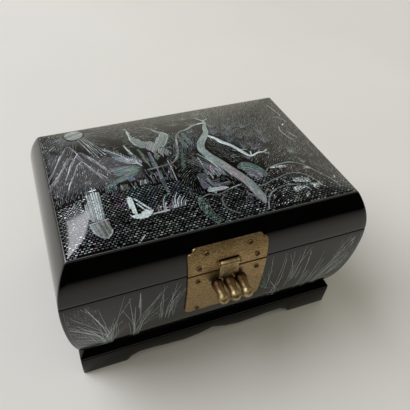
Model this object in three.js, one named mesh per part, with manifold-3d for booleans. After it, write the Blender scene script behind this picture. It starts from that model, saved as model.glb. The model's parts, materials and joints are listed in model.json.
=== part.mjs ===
// A lacquered jewellery box: curved, mitred sides on a shaped plinth, a hinged lid with a
// domed panel, and a brass front lock. The lock is a plate on the lid and one on the case,
// a hasp that swings down over the seam, and a catch on either side of the hasp's prong.
// Millimetres, +Z up, front towards -Y. The feet stand on z = 0.

import * as THREE from "three";
import { mergeVertices } from "three/addons/utils/BufferGeometryUtils.js";
import Module from "manifold-3d";

const wasm = await Module();
wasm.setup();

// The box. An offset is how far a surface stands outside the domed panel's edge.
const panelHalfWidth = 90.9;
const panelHalfDepth = 58.75;
const plinthHeight = 17.8;
const mouldingHeight = 6.7;
const caseHeight = 63;           // moulding to the seam between case and lid
const lidHeight = 27.3;          // seam to the domed panel's edge
const panelRim = 3;              // thickness of the domed panel at its edge
const domeRise = 5.6;
const domePower = 2.4;           // higher makes the dome flatter in the middle
const bulge = 9.6;               // offset where the sides are widest
const bulgeDrop = 10.5;          // that height below the seam
const seamOffset = 9.1;
const wallThickness = 5.5;       // from the panel's edge in to the walls' inner faces
const fitGap = 0.3;              // between neighbouring pieces
const mitreGap = 0.15;           // what each board leaves at a corner

// The curves of the sides
const caseCurveDepth = 13;       // quarter ellipse under the widest height
const caseCurveReach = 3.5;      // how far its lower end is hidden below the case
const lidCurveRadius = 57;
const lidCurveDrop = 3.5;        // centre of the lid's arc below the seam
const curveFacets = 9;

// The plinth
const mouldingOffset = 1.2;      // at the moulding's top
const plinthOffset = 4.8;
const plinthCornerRadius = 1;
const railThickness = 9;
const mouldingInset = 14;        // reach of the moulding in under the floor
const footShare = 0.32;          // flat foot as a share of half a rail's length
const apron = [                  // share of the way from the middle to the foot, height
  [0, 10.5], [0.17, 6.4], [0.34, 4.8], [0.49, 5.6], [0.72, 7.1], [0.85, 7.2], [0.93, 5], [1, 0],
];

// Inside
const floorThickness = 5;
const padThickness = 4;
const liningThickness = 2;
const liningDrop = 3;            // lining's top edge below the case's rim
const mirrorThickness = 2;
const mirrorBorder = 12;         // lining left showing round the mirror

// Lock plates, placed sideways from the lock's middle
const lockMiddle = 0.8;
const plateHalfWidth = 25.7;
const plateThickness = 1;
const plateRise = 18.9;          // upper plate's top above the seam
const plateDrop = 39.9;          // lower plate's bottom below the seam
const plateSeamGap = 0.7;        // plate's edge to the middle of the seam
const cornerRun = 5.9;           // clipped upper corners, across and down
const cornerDrop = 5.3;
const cornerClip = 2.6;          // clipped lower corners
const tackRadius = 1.7;
const tackHeight = 0.9;
const upperTacks = [             // sideways place, share of plateRise
  [-18.8, 0.275], [-14, 0.79], [14, 0.79], [18.8, 0.275],
];
const lowerTacks = [             // sideways place, share of plateDrop
  [-19.4, 0.145], [-17.6, 0.915], [17.6, 0.915], [19.4, 0.145],
];

// Hasp, its ears and pin, and the prongs
const knuckleRise = 5.7;         // above the seam
const knuckleRadius = 1.9;
const haspHalfWidth = 6.1;
const haspThickness = 1.4;
const haspStand = 0.6;           // clear space between the hasp and the plates
const haspDrop = 3.9;            // end of the tongue below the seam
const haspPinRadius = 0.6;
const earThickness = 0.9;
const notchRise = 8.2;
const prongDrop = 8.5;           // below the seam
const prongPitch = 7.8;
const prongDroop = 0.18;         // radians below level
const prongLength = 15.2;
const ballRadius = 3.4;
const footRadius = 3.6;
const waistRadius = 2.8;
const stemRadius = 1.6;
const stemLength = 4.5;          // into the case behind the plate
const stemGap = 0.5;

// Hinges, a pair at the back
const hingeInset = 32.9;         // hinge's middle in from the panel's side
const hingeHalfWidth = 13;
const hingeHeight = 13;
const leafThickness = 1;
const hingePinRadius = 1;
const hingeKnuckleRadius = 2.2;
const hingeStand = 0.9;          // clear space between the knuckles and the bulge
const leafSeamGap = 1.4;

// Worked out from the values above
const mouldingTop = plinthHeight + mouldingHeight;
const seamHeight = mouldingTop + caseHeight;
const bulgeHeight = seamHeight - bulgeDrop;
const panelEdgeHeight = seamHeight + lidHeight;
const knuckleHeight = seamHeight + knuckleRise;
const haspEnd = seamHeight - haspDrop;
const prongHeight = seamHeight - prongDrop;
const wellHalfWidth = panelHalfWidth - wallThickness;
const wellHalfDepth = panelHalfDepth - wallThickness;
const railTop = panelEdgeHeight - panelRim;
const plateStand = fitGap + plateThickness;
const notchHalfWidth = haspHalfWidth + fitGap;
const hingePlace = panelHalfWidth - hingeInset;
const hingeY = panelHalfDepth + bulge + hingeKnuckleRadius + hingeStand;
const catchFace = -(panelHalfDepth + caseOffset(prongHeight));
const prongY = catchFace - plateStand - fitGap - footRadius * Math.sin(prongDroop);
const knuckleY = -(panelHalfDepth + lidOffset(knuckleHeight) + plateStand + haspStand
  + haspThickness / 2);

const lacquer = { color: 0x0b0a0a, roughness: 0.1, metalness: 0 };
const brass = { color: 0x9a7a44, roughness: 0.4, metalness: 1 };
const velvet = { color: 0x5a0d16, roughness: 0.95, metalness: 0 };
const silvered = { color: 0xd8dcde, roughness: 0.03, metalness: 1 };

const sides = [
  { name: "front", turn: 0, half: panelHalfWidth, depth: panelHalfDepth },
  { name: "right", turn: Math.PI / 2, half: panelHalfDepth, depth: panelHalfWidth },
  { name: "back", turn: Math.PI, half: panelHalfWidth, depth: panelHalfDepth },
  { name: "left", turn: -Math.PI / 2, half: panelHalfDepth, depth: panelHalfWidth },
];

// Shapes and solids

function toSolid(geometry) {
  const bare = geometry.clone();
  bare.deleteAttribute("normal");
  bare.deleteAttribute("uv");
  const merged = mergeVertices(bare, 1e-4);
  return new wasm.Manifold(new wasm.Mesh({
    numProp: 3,
    vertProperties: new Float32Array(merged.attributes.position.array),
    triVerts: new Uint32Array(merged.index.array),
  }));
}

function toGeometry(solid) {
  const mesh = solid.getMesh();
  const geometry = new THREE.BufferGeometry();
  geometry.setAttribute("position", new THREE.BufferAttribute(mesh.vertProperties, 3));
  geometry.setIndex(new THREE.BufferAttribute(mesh.triVerts, 1));
  geometry.computeVertexNormals();
  return geometry;
}

function piece(name, geometry, look) {
  const mesh = new THREE.Mesh(geometry, new THREE.MeshStandardMaterial(look));
  mesh.name = name;
  return mesh;
}

function outline(points) {
  return new THREE.Shape(points.map(([x, y]) => new THREE.Vector2(x, y)));
}

function block(x0, x1, y0, y1, z0, z1) {
  const geometry = new THREE.BoxGeometry(x1 - x0, y1 - y0, z1 - z0);
  return geometry.translate((x0 + x1) / 2, (y0 + y1) / 2, (z0 + z1) / 2);
}

function rodAlongX(radius, length, x, y, z) {
  const geometry = new THREE.CylinderGeometry(radius, radius, length, 20);
  return geometry.rotateZ(Math.PI / 2).translate(x, y, z);
}

function turned(profile, segments) {
  const points = profile.map(([radius, height]) => new THREE.Vector2(radius, height));
  return new THREE.LatheGeometry(points, segments);
}

// A section of [offset, height] points drawn out along x, with each point then put in place
function drawnOut(section, place) {
  const geometry = new THREE.ExtrudeGeometry(outline(section), { depth: 1, bevelEnabled: false });
  const position = geometry.attributes.position;
  for (let i = 0; i < position.count; i += 1) {
    const [x, y, z] = place(position.getX(i), position.getY(i), position.getZ(i));
    position.setXYZ(i, x, y, z);
  }
  return geometry;
}

// A board for one side, mitred at both ends along the corners' diagonals
function mitredBoard(section, side) {
  return drawnOut(section, (offset, height, along) => [
    (1 - 2 * along) * (side.half + offset - mitreGap),
    -(side.depth + offset),
    height,
  ]);
}

// The curves of the sides

function caseOffset(z) {
  if (z > bulgeHeight) {
    const rise = (z - bulgeHeight) / (seamHeight - bulgeHeight);
    return bulge - (bulge - seamOffset) * rise * rise;
  }
  const drop = (bulgeHeight - z) / (bulgeHeight - mouldingTop + caseCurveReach);
  return bulge - caseCurveDepth * (1 - Math.sqrt(1 - drop * drop));
}

// An arc from the seam's offset up to the panel's edge, where the offset is 0
function lidOffset(z) {
  const centre = seamHeight - lidCurveDrop;
  const reach = (height) => Math.sqrt(lidCurveRadius ** 2 - (height - centre) ** 2);
  const inset = reach(panelEdgeHeight);
  return seamOffset * (reach(z) - inset) / (reach(seamHeight) - inset);
}

function frontOffset(z) {
  return z > seamHeight ? lidOffset(z) : caseOffset(z);
}

function curve(low, high, offsetAt, out = 0) {
  const points = [];
  for (let i = 0; i <= curveFacets; i += 1) {
    const z = low + (high - low) * i / curveFacets;
    points.push([offsetAt(z) + out, z]);
  }
  return points;
}

// A strip of even thickness that follows the curve of a side
function curvedStrip(low, high, offsetAt, inner, outer) {
  return [
    ...curve(low, high, offsetAt, outer),
    ...curve(low, high, offsetAt, inner).reverse(),
  ];
}

// Highest in the middle, level along the panel's edge, with soft hips towards the corners
function domeHeight(x, y) {
  const across = 1 - Math.min(Math.abs(x) / panelHalfWidth, 1) ** domePower;
  const deep = 1 - Math.min(Math.abs(y) / panelHalfDepth, 1) ** domePower;
  if (across === 0 || deep === 0) return panelEdgeHeight;
  return panelEdgeHeight + domeRise / Math.sqrt(across ** -2 + deep ** -2 - 1);
}

// Case

function caseWalls() {
  const low = mouldingTop + fitGap;
  const high = seamHeight - fitGap / 2;
  const section = [
    ...curve(low, high, caseOffset),
    [-wallThickness, high],
    [-wallThickness, low],
  ];
  return sides.map((side) => {
    const board = mitredBoard(section, side);
    const shaped = side.name === "front" ? toGeometry(drilled(toSolid(board))) : board;
    return piece(`case_wall_${side.name}`, shaped.rotateZ(side.turn), lacquer);
  });
}

function caseFloor() {
  const x = wellHalfWidth - fitGap;
  const y = wellHalfDepth - fitGap;
  const low = mouldingTop + fitGap;
  return piece("case_floor", block(-x, x, -y, y, low, low + floorThickness), lacquer);
}

// An upright prism with the plinth's outline and rounded corners
function plinthPrism() {
  const x = panelHalfWidth + plinthOffset;
  const y = panelHalfDepth + plinthOffset;
  const r = plinthCornerRadius;
  const shape = new THREE.Shape();
  shape.absarc(x - r, y - r, r, 0, Math.PI / 2);
  shape.absarc(-x + r, y - r, r, Math.PI / 2, Math.PI);
  shape.absarc(-x + r, -y + r, r, Math.PI, 1.5 * Math.PI);
  shape.absarc(x - r, -y + r, r, 1.5 * Math.PI, 2 * Math.PI);
  const prism = new THREE.ExtrudeGeometry(shape, {
    depth: mouldingTop + 2, bevelEnabled: false, curveSegments: 5,
  });
  return toSolid(prism.translate(0, 0, -1));
}

function plinthMouldings(prism) {
  const low = plinthHeight + fitGap;
  const inner = mouldingOffset - mouldingInset;
  const section = [
    [inner, low],
    [plinthOffset - 0.3, low],
    [plinthOffset, low + 0.4],
    [plinthOffset, low + 0.9],
    [mouldingOffset, mouldingTop],
    [inner, mouldingTop],
  ];
  return sides.map((side) => {
    const board = toSolid(mitredBoard(section, side).rotateZ(side.turn));
    return piece(`plinth_moulding_${side.name}`, toGeometry(board.intersect(prism)), lacquer);
  });
}

// Front view of a plinth rail: a small pointed notch in the middle of its lower edge, a
// shallow swell, and an arch beside each flat foot
function railShape(half) {
  const archEnd = half * (1 - footShare);
  const knots = apron.map(([share, height]) => new THREE.Vector2(share * archEnd, height));
  const right = new THREE.SplineCurve(knots).getPoints(16).map((point) => [point.x, point.y]);
  const left = right.slice(1).reverse().map(([x, z]) => [-x, z]);
  return outline([
    [-half, 0], ...left, ...right, [half, 0], [half, plinthHeight], [-half, plinthHeight],
  ]);
}

function plinthRails(prism) {
  const slab = [
    [plinthOffset - railThickness, -1],
    [plinthOffset, -1],
    [plinthOffset, plinthHeight + 1],
    [plinthOffset - railThickness, plinthHeight + 1],
  ];
  return sides.map((side) => {
    const front = new THREE.ExtrudeGeometry(railShape(side.half + plinthOffset), {
      depth: 3 * railThickness, bevelEnabled: false,
    });
    front.rotateX(Math.PI / 2).translate(0, -side.depth + railThickness, 0);
    const rail = toSolid(front.rotateZ(side.turn));
    const board = toSolid(mitredBoard(slab, side).rotateZ(side.turn));
    const shaped = rail.intersect(board).intersect(prism);
    return piece(`plinth_rail_${side.name}`, toGeometry(shaped), lacquer);
  });
}

function caseLinings() {
  const x = wellHalfWidth - fitGap;
  const y = wellHalfDepth - fitGap;
  const t = liningThickness;
  const padLow = mouldingTop + floorThickness + 2 * fitGap;
  const low = padLow + padThickness + fitGap;
  const high = seamHeight - liningDrop;
  const end = y - t - fitGap;
  return [
    piece("floor_pad", block(-x, x, -y, y, padLow, padLow + padThickness), velvet),
    piece("lining_front", block(-x, x, -y, -y + t, low, high), velvet),
    piece("lining_back", block(-x, x, y - t, y, low, high), velvet),
    piece("lining_left", block(-x, -x + t, -end, end, low, high), velvet),
    piece("lining_right", block(x - t, x, -end, end, low, high), velvet),
  ];
}

// Lid

function lidRails() {
  const low = seamHeight + fitGap / 2;
  const section = [
    ...curve(low, railTop, lidOffset),
    [-wallThickness, railTop],
    [-wallThickness, low],
  ];
  return sides.map((side) =>
    piece(`lid_rail_${side.name}`, mitredBoard(section, side).rotateZ(side.turn), lacquer));
}

// The panel's rim carries on the curve of the rails under it
function domedPanel() {
  const low = railTop + fitGap;
  const geometry = new THREE.BoxGeometry(2, 2, 1, 22, 14, 1);
  const position = geometry.attributes.position;
  for (let i = 0; i < position.count; i += 1) {
    const upper = position.getZ(i) > 0;
    const flare = upper ? 0 : lidOffset(low);
    const x = position.getX(i) * (panelHalfWidth + flare);
    const y = position.getY(i) * (panelHalfDepth + flare);
    position.setXYZ(i, x, y, upper ? domeHeight(x, y) : low);
  }
  return piece("lid_top_panel", geometry, lacquer);
}

function lidInside() {
  const x = wellHalfWidth - fitGap;
  const y = wellHalfDepth - fitGap;
  const liningLow = railTop - liningThickness;
  const mirrorTop = liningLow - fitGap;
  const mirrorX = x - mirrorBorder;
  const mirrorY = y - mirrorBorder;
  return [
    piece("lid_lining", block(-x, x, -y, y, liningLow, railTop), velvet),
    piece("lid_mirror", block(-mirrorX, mirrorX, -mirrorY, mirrorY,
      mirrorTop - mirrorThickness, mirrorTop), silvered),
  ];
}

// Lock plates

// Cuts a curved strip on the front to an outline seen from the front
function frontPlate(shape, low, high, offsetAt) {
  const strip = drawnOut(
    curvedStrip(low - 1, high + 1, offsetAt, fitGap, plateStand),
    (offset, height, along) => [
      lockMiddle + (1 - 2 * along) * (plateHalfWidth + 1),
      -(panelHalfDepth + offset),
      height,
    ],
  );
  const cutter = new THREE.ExtrudeGeometry(shape, { depth: 3 * bulge, bevelEnabled: false });
  cutter.rotateX(Math.PI / 2).translate(lockMiddle, bulge - panelHalfDepth, 0);
  return toSolid(strip).intersect(toSolid(cutter));
}

// Two rounded steps make each clipped upper corner
function upperPlateShape() {
  const low = seamHeight + plateSeamGap;
  const shape = new THREE.Shape();
  const innerX = plateHalfWidth - cornerRun;
  const middleX = plateHalfWidth - cornerRun / 2;
  const high = seamHeight + plateRise;
  const middleZ = high - cornerDrop / 2;
  const cornerZ = high - cornerDrop;
  shape.moveTo(-plateHalfWidth, low);
  shape.lineTo(-notchHalfWidth, low);
  shape.lineTo(-notchHalfWidth, seamHeight + notchRise);
  shape.lineTo(notchHalfWidth, seamHeight + notchRise);
  shape.lineTo(notchHalfWidth, low);
  shape.lineTo(plateHalfWidth, low);
  shape.lineTo(plateHalfWidth, cornerZ);
  shape.quadraticCurveTo(plateHalfWidth, middleZ, middleX, middleZ);
  shape.quadraticCurveTo(middleX, high, innerX, high);
  shape.lineTo(-innerX, high);
  shape.quadraticCurveTo(-middleX, high, -middleX, middleZ);
  shape.quadraticCurveTo(-plateHalfWidth, middleZ, -plateHalfWidth, cornerZ);
  return shape;
}

// A small bracket beside the notch that holds one end of the hasp's pin
function ear(end) {
  const x = lockMiddle + end * (notchHalfWidth + earThickness / 2);
  const root = -(panelHalfDepth + lidOffset(knuckleHeight) + fitGap + plateThickness / 2);
  const reach = knuckleRadius - 0.4;
  const round = rodAlongX(knuckleRadius - 0.2, earThickness, x, knuckleY, knuckleHeight);
  const bracket = block(x - earThickness / 2, x + earThickness / 2, knuckleY, root,
    knuckleHeight - reach, knuckleHeight + reach);
  return toSolid(round).add(toSolid(bracket));
}

function haspPinBore() {
  return toSolid(rodAlongX(haspPinRadius + fitGap / 2, 4 * notchHalfWidth,
    lockMiddle, knuckleY, knuckleHeight));
}

function upperPlate() {
  const low = seamHeight + plateSeamGap;
  const plate = frontPlate(upperPlateShape(), low, seamHeight + plateRise, lidOffset);
  const whole = plate.add(ear(-1)).add(ear(1)).subtract(haspPinBore());
  return piece("lock_plate_upper", toGeometry(whole), brass);
}

function lowerPlate() {
  const high = seamHeight - plateSeamGap;
  const low = seamHeight - plateDrop;
  const x = plateHalfWidth;
  const shape = outline([
    [-x, low + cornerClip],
    [-x + cornerClip, low],
    [x - cornerClip, low],
    [x, low + cornerClip],
    [x, high],
    [-x, high],
  ]);
  const plate = frontPlate(shape, low, high, caseOffset);
  return piece("lock_plate_lower", toGeometry(drilled(plate)), brass);
}

// A tack's low domed head, square to the plate
function tack(name, x, z, offsetAt) {
  const head = turned([
    [0, 0], [tackRadius, 0], [tackRadius * 0.9, tackHeight * 0.45],
    [tackRadius * 0.55, tackHeight * 0.85], [0, tackHeight],
  ], 12);
  const slope = Math.atan(offsetAt(z + 0.5) - offsetAt(z - 0.5));
  const out = offsetAt(z) + plateStand + fitGap;
  head.rotateX(Math.PI + slope).translate(lockMiddle + x, -(panelHalfDepth + out), z);
  return piece(name, head, brass);
}

function tacks() {
  return [
    ...upperTacks.map(([x, share], i) =>
      tack(`tack_upper_${i + 1}`, x, seamHeight + share * plateRise, lidOffset)),
    ...lowerTacks.map(([x, share], i) =>
      tack(`tack_lower_${i + 1}`, x, seamHeight - share * plateDrop, caseOffset)),
  ];
}

// Hasp and catches

// A turned prong with a full foot, a waist and a ball, pointing forward and a little down
function prong(x) {
  const ballCentre = prongLength - ballRadius;
  const ballSteps = 6;
  const ball = [];
  for (let i = 0; i <= ballSteps; i += 1) {
    const angle = -0.8 + (Math.PI / 2 + 0.8) * i / ballSteps;
    const radius = i === ballSteps ? 0 : ballRadius * Math.cos(angle);
    ball.push([radius, ballCentre + ballRadius * Math.sin(angle)]);
  }
  const waistAt = prongLength * 0.55;
  const geometry = turned([
    [0, 0],
    [footRadius * 0.86, 0],
    [footRadius, 1.6],
    [footRadius * 0.98, 3.4],
    [footRadius * 0.87, 5.2],
    [waistRadius * 1.06, waistAt - 1],
    [waistRadius, waistAt],
    ...ball,
  ], 16);
  return toSolid(geometry.rotateX(Math.PI + prongDroop).translate(x, prongY, prongHeight));
}

function catchX(end) {
  return lockMiddle + end * prongPitch;
}

function rodAlongY(radius, x, front, back, z) {
  const geometry = new THREE.CylinderGeometry(radius, radius, back - front, 20);
  return toSolid(geometry.translate(x, (back + front) / 2, z));
}

// Takes the catches' stem holes out of the lower plate or the wall behind it
function drilled(solid) {
  const back = catchFace + stemLength + stemGap;
  const front = catchFace - 2 * plateStand;
  return [-1, 1].reduce((rest, end) =>
    rest.subtract(rodAlongY(stemRadius + stemGap, catchX(end), front, back, prongHeight)), solid);
}

function catchPiece(name, end) {
  const stem = rodAlongY(stemRadius, catchX(end), prongY - 1.5, catchFace + stemLength, prongHeight);
  return piece(name, toGeometry(prong(catchX(end)).add(stem)), brass);
}

// The rolled knuckle, a tongue that follows the front down over the seam, and the prong
function hasp() {
  const roll = toSolid(rodAlongX(knuckleRadius, 2 * haspHalfWidth, lockMiddle, knuckleY, knuckleHeight));
  const inner = plateStand + haspStand;
  const tongue = toSolid(drawnOut(
    curvedStrip(haspEnd, knuckleHeight, frontOffset, inner, inner + haspThickness),
    (offset, height, along) => [
      lockMiddle + (1 - 2 * along) * haspHalfWidth,
      -(panelHalfDepth + offset),
      height,
    ],
  ));
  const neckFront = -(panelHalfDepth + caseOffset(haspEnd) + inner + haspThickness);
  const neck = toSolid(block(lockMiddle - waistRadius, lockMiddle + waistRadius,
    neckFront, neckFront + haspThickness, prongHeight, haspEnd + 1));
  const leaf = roll.add(tongue).subtract(haspPinBore());
  return piece("hasp", toGeometry(leaf.add(neck).add(prong(lockMiddle))), brass);
}

function haspPin() {
  const length = 2 * (notchHalfWidth + earThickness);
  return piece("hasp_pin",
    rodAlongX(haspPinRadius, length, lockMiddle, knuckleY, knuckleHeight), brass);
}

// Hinges

// A leaf against the back, with knuckles that reach out to the pin
function hingeLeaf(name, middle, upper) {
  const away = upper ? 1 : -1;
  const offsetAt = upper ? lidOffset : caseOffset;
  const near = seamHeight + away * leafSeamGap;
  const far = seamHeight + away * hingeHeight;
  const leaf = toSolid(drawnOut(
    curvedStrip(Math.min(near, far), Math.max(near, far), offsetAt, fitGap, fitGap + leafThickness),
    (offset, height, along) => [
      middle - hingeHalfWidth + 2 * hingeHalfWidth * along,
      panelHalfDepth + offset,
      height,
    ],
  ));
  const pitch = 2 * hingeHalfWidth / 3;
  const half = (pitch - fitGap) / 2;
  const root = panelHalfDepth + offsetAt(near) + fitGap + leafThickness / 2;
  const webs = [near, near + away * leafThickness];
  const knuckles = (upper ? [0] : [-pitch, pitch]).map((along) => {
    const x = middle + along;
    const barrel = rodAlongX(hingeKnuckleRadius, 2 * half, x, hingeY, seamHeight);
    const web = block(x - half, x + half, root, hingeY, Math.min(...webs), Math.max(...webs));
    return toSolid(barrel).add(toSolid(web));
  });
  const bore = toSolid(rodAlongX(hingePinRadius + fitGap, 3 * hingeHalfWidth, middle, hingeY, seamHeight));
  const whole = knuckles.reduce((sum, knuckle) => sum.add(knuckle), leaf).subtract(bore);
  return piece(name, toGeometry(whole), brass);
}

function hinges() {
  return [["left", -hingePlace], ["right", hingePlace]].flatMap(([name, x]) => [
    hingeLeaf(`hinge_leaf_lower_${name}`, x, false),
    hingeLeaf(`hinge_leaf_upper_${name}`, x, true),
    piece(`hinge_pin_${name}`,
      rodAlongX(hingePinRadius, 2 * hingeHalfWidth, x, hingeY, seamHeight), brass),
  ]);
}

// The whole box

const prism = plinthPrism();
const box = new THREE.Group();
box.add(
  ...plinthRails(prism),
  ...plinthMouldings(prism),
  ...caseWalls(),
  caseFloor(),
  ...caseLinings(),
  ...lidRails(),
  domedPanel(),
  ...lidInside(),
  upperPlate(),
  lowerPlate(),
  ...tacks(),
  catchPiece("catch_left", -1),
  catchPiece("catch_right", 1),
  hasp(),
  haspPin(),
  ...hinges(),
);

// The origin is the middle of the whole footprint, with the lock and hinges counted
const extent = new THREE.Box3().setFromObject(box);
box.position.y = -(extent.min.y + extent.max.y) / 2;

export default box;
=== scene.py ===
import json
import math
import random

import bmesh
import bpy
from mathutils import Matrix, Quaternion, Vector


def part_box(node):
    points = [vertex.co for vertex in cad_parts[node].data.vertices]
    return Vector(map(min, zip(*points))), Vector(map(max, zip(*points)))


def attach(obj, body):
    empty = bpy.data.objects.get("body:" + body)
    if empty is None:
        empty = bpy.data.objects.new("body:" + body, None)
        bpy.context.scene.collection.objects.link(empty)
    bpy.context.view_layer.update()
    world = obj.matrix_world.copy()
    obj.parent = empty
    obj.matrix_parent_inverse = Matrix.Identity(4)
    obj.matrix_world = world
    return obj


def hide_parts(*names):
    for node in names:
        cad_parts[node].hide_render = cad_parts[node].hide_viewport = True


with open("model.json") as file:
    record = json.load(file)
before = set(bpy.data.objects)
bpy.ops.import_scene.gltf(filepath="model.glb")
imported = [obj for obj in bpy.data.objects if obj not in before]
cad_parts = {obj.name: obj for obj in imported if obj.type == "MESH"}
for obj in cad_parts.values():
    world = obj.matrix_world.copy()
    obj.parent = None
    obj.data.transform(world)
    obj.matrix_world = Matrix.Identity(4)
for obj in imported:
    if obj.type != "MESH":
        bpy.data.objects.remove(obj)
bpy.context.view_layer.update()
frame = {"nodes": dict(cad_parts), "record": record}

# Millimetres from here on, with the domed panel's middle at x = y = 0 and +Z up. The front
# faces -Y. MM turns them into metres, and SHIFT_Y puts them in the part's own frame.
MM = 0.001
PANEL_LOW, PANEL_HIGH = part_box("lid_top_panel")
SHIFT_Y = (PANEL_LOW[1] + PANEL_HIGH[1]) / 2

# The box, as in the part's source
HALF_WIDTH = 90.9
HALF_DEPTH = 58.75
PLINTH_TOP = 17.8
MOULDING_TOP = 24.5
BULGE_HEIGHT = 77
SEAM = 87.5
PANEL_EDGE = 114.8
DOME_RISE = 5.6
DOME_POWER = 2.4
BULGE = 9.6
SEAM_OFFSET = 9.1
WALL = 5.5
GAP = 0.3
PLINTH_OFFSET = 4.8
APRON = (
    (0, 10.5), (0.17, 6.4), (0.34, 4.8), (0.49, 5.6), (0.72, 7.1), (0.85, 7.2), (0.93, 5), (1, 0),
)
FOOT_SHARE = 0.32
RAIL_THICKNESS = 9
SIDES = ("front", "right", "back", "left")
# Below the bulge the case curves in along a quarter of an ellipse. It is this deep, and its end
# would lie this far under the moulding's top.
CASE_CURVE_DEPTH = 13
CASE_CURVE_BELOW = 3.5
# The lid curves in along an arc of this radius. The arc's centre lies this far under the seam.
LID_CURVE_RADIUS = 57
LID_CURVE_BELOW = 3.5

# In the scene alone
ROOF_THICKNESS = 2.7
MOULDING_DEPTH = 10
EDGE_RADIUS = 1.1
# Divisions across and deep of a ring, and of its corners
ACROSS, DEEP, CORNER = 64, 44, 5
# Widths of a bevel, in metres
BRASS_BEVEL = 0.0002
MIRROR_BEVEL = 0.0008

# Camera
CAMERA_PLACE = Vector((-87.23, -210.15, 296.47))
CAMERA_AZIMUTH = math.radians(-20.14)
CAMERA_ELEVATION = math.radians(44.5)
CAMERA_ROLL = math.radians(1.62)
CAMERA_LENS = 38.50
CAMERA_SHIFT = (0.0778, 0.0054)


def metres(point):
    return Vector((point[0] * MM, point[1] * MM + SHIFT_Y, point[2] * MM))


def add_camera():
    data = bpy.data.cameras.new("camera")
    data.lens = CAMERA_LENS
    data.sensor_width = 36
    data.shift_x, data.shift_y = CAMERA_SHIFT
    camera = bpy.data.objects.new("camera", data)
    back = Vector((
        math.sin(CAMERA_AZIMUTH) * math.cos(CAMERA_ELEVATION),
        -math.cos(CAMERA_AZIMUTH) * math.cos(CAMERA_ELEVATION),
        math.sin(CAMERA_ELEVATION),
    ))
    right = (-back).cross(Vector((0, 0, 1))).normalized()
    up = right.cross(-back)
    turned_right = right * math.cos(CAMERA_ROLL) + up * math.sin(CAMERA_ROLL)
    turned_up = up * math.cos(CAMERA_ROLL) - right * math.sin(CAMERA_ROLL)
    turn = Matrix((turned_right, turned_up, back)).transposed().to_4x4()
    camera.matrix_world = Matrix.Translation(metres(CAMERA_PLACE)) @ turn
    bpy.context.collection.objects.link(camera)
    bpy.context.scene.camera = camera


# Materials

# The nodes of one material or world. An input's name is written with _ for a space, and its
# value is a constant or the socket that it's linked to.
class Nodes:
    def __init__(self, owner, shader="Principled BSDF"):
        owner.use_nodes = True
        self.owner = owner
        self.tree = owner.node_tree
        self.shader = self.tree.nodes[shader]

    def put(self, socket, value):
        if isinstance(value, bpy.types.NodeSocket):
            self.tree.links.new(value, socket)
        else:
            socket.default_value = value

    def feed(self, target, **inputs):
        for name, value in inputs.items():
            self.put(target.inputs[name.replace("_", " ")], value)
        return target

    def add(self, kind, settings=(), **inputs):
        made = self.tree.nodes.new("ShaderNode" + kind)
        for name, value in settings:
            setattr(made, name, value)
        return self.feed(made, **inputs)

    def coordinates(self, kind="Object"):
        return self.add("TexCoord").outputs[kind]

    def axes(self, kind="Object"):
        return self.add("SeparateXYZ", Vector=self.coordinates(kind)).outputs

    # 0 to 1 between two places on an object's own Y
    def share_of_y(self, start, end):
        made = self.add("MapRange", From_Min=start, From_Max=end, Value=self.axes()["Y"])
        return made.outputs["Result"]

    def noise(self, scale, detail=4):
        made = self.add("TexNoise", Scale=scale, Detail=detail, Vector=self.coordinates())
        return made.outputs["Fac"]

    def ramp(self, source, *stops):
        made = self.add("ValToRGB", Fac=source)
        elements = made.color_ramp.elements
        while len(elements) < len(stops):
            elements.new(0.5)
        for element, (place, color) in zip(elements, stops):
            element.position = place
            element.color = (*color, 1) if isinstance(color, tuple) else (color, color, color, 1)
        return made.outputs["Color"]

    def mixed(self, how, factor, first, second):
        settings = (("data_type", "RGBA"), ("blend_type", how))
        return self.add("Mix", settings, Factor=factor, A=first, B=second).outputs["Result"]

    def times(self, first, second):
        return self.mixed("MULTIPLY", 1, first, second)

    def math(self, operation, *values, kind="Math", output="Value"):
        made = self.add(kind, (("operation", operation),))
        for socket, value in zip(made.inputs, values):
            self.put(socket, value)
        return made.outputs[output]

    def bump(self, source, strength, distance):
        made = self.add("Bump", Strength=strength, Distance=distance, Height=source)
        self.feed(self.shader, Normal=made.outputs["Normal"])

    def finish(self, **inputs):
        self.feed(self.shader, **inputs)
        return self.owner


def material_nodes(name):
    return Nodes(bpy.data.materials.new(name))


def lacquer_material(name, gloss):
    work = material_nodes(name)
    work.bump(work.noise(70, 2), 0.05, 0.0008)
    dark, light = (0.0012, 0.0011, 0.001), (0.0026, 0.0023, 0.0021)
    return work.finish(
        Specular_IOR_Level=gloss,
        Specular_Tint=(1, 0.97, 0.925, 1),
        Base_Color=work.ramp(work.noise(60), (0.3, dark), (0.7, light)),
        Roughness=work.ramp(work.noise(35, 6), (0.35, 0.05), (0.75, 0.09)),
    )


# Metres along Y from the prongs' foot, darkened with painted shade, to their lighter end
PRONG_SHADE_SPAN = (-0.067, -0.079)


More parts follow.
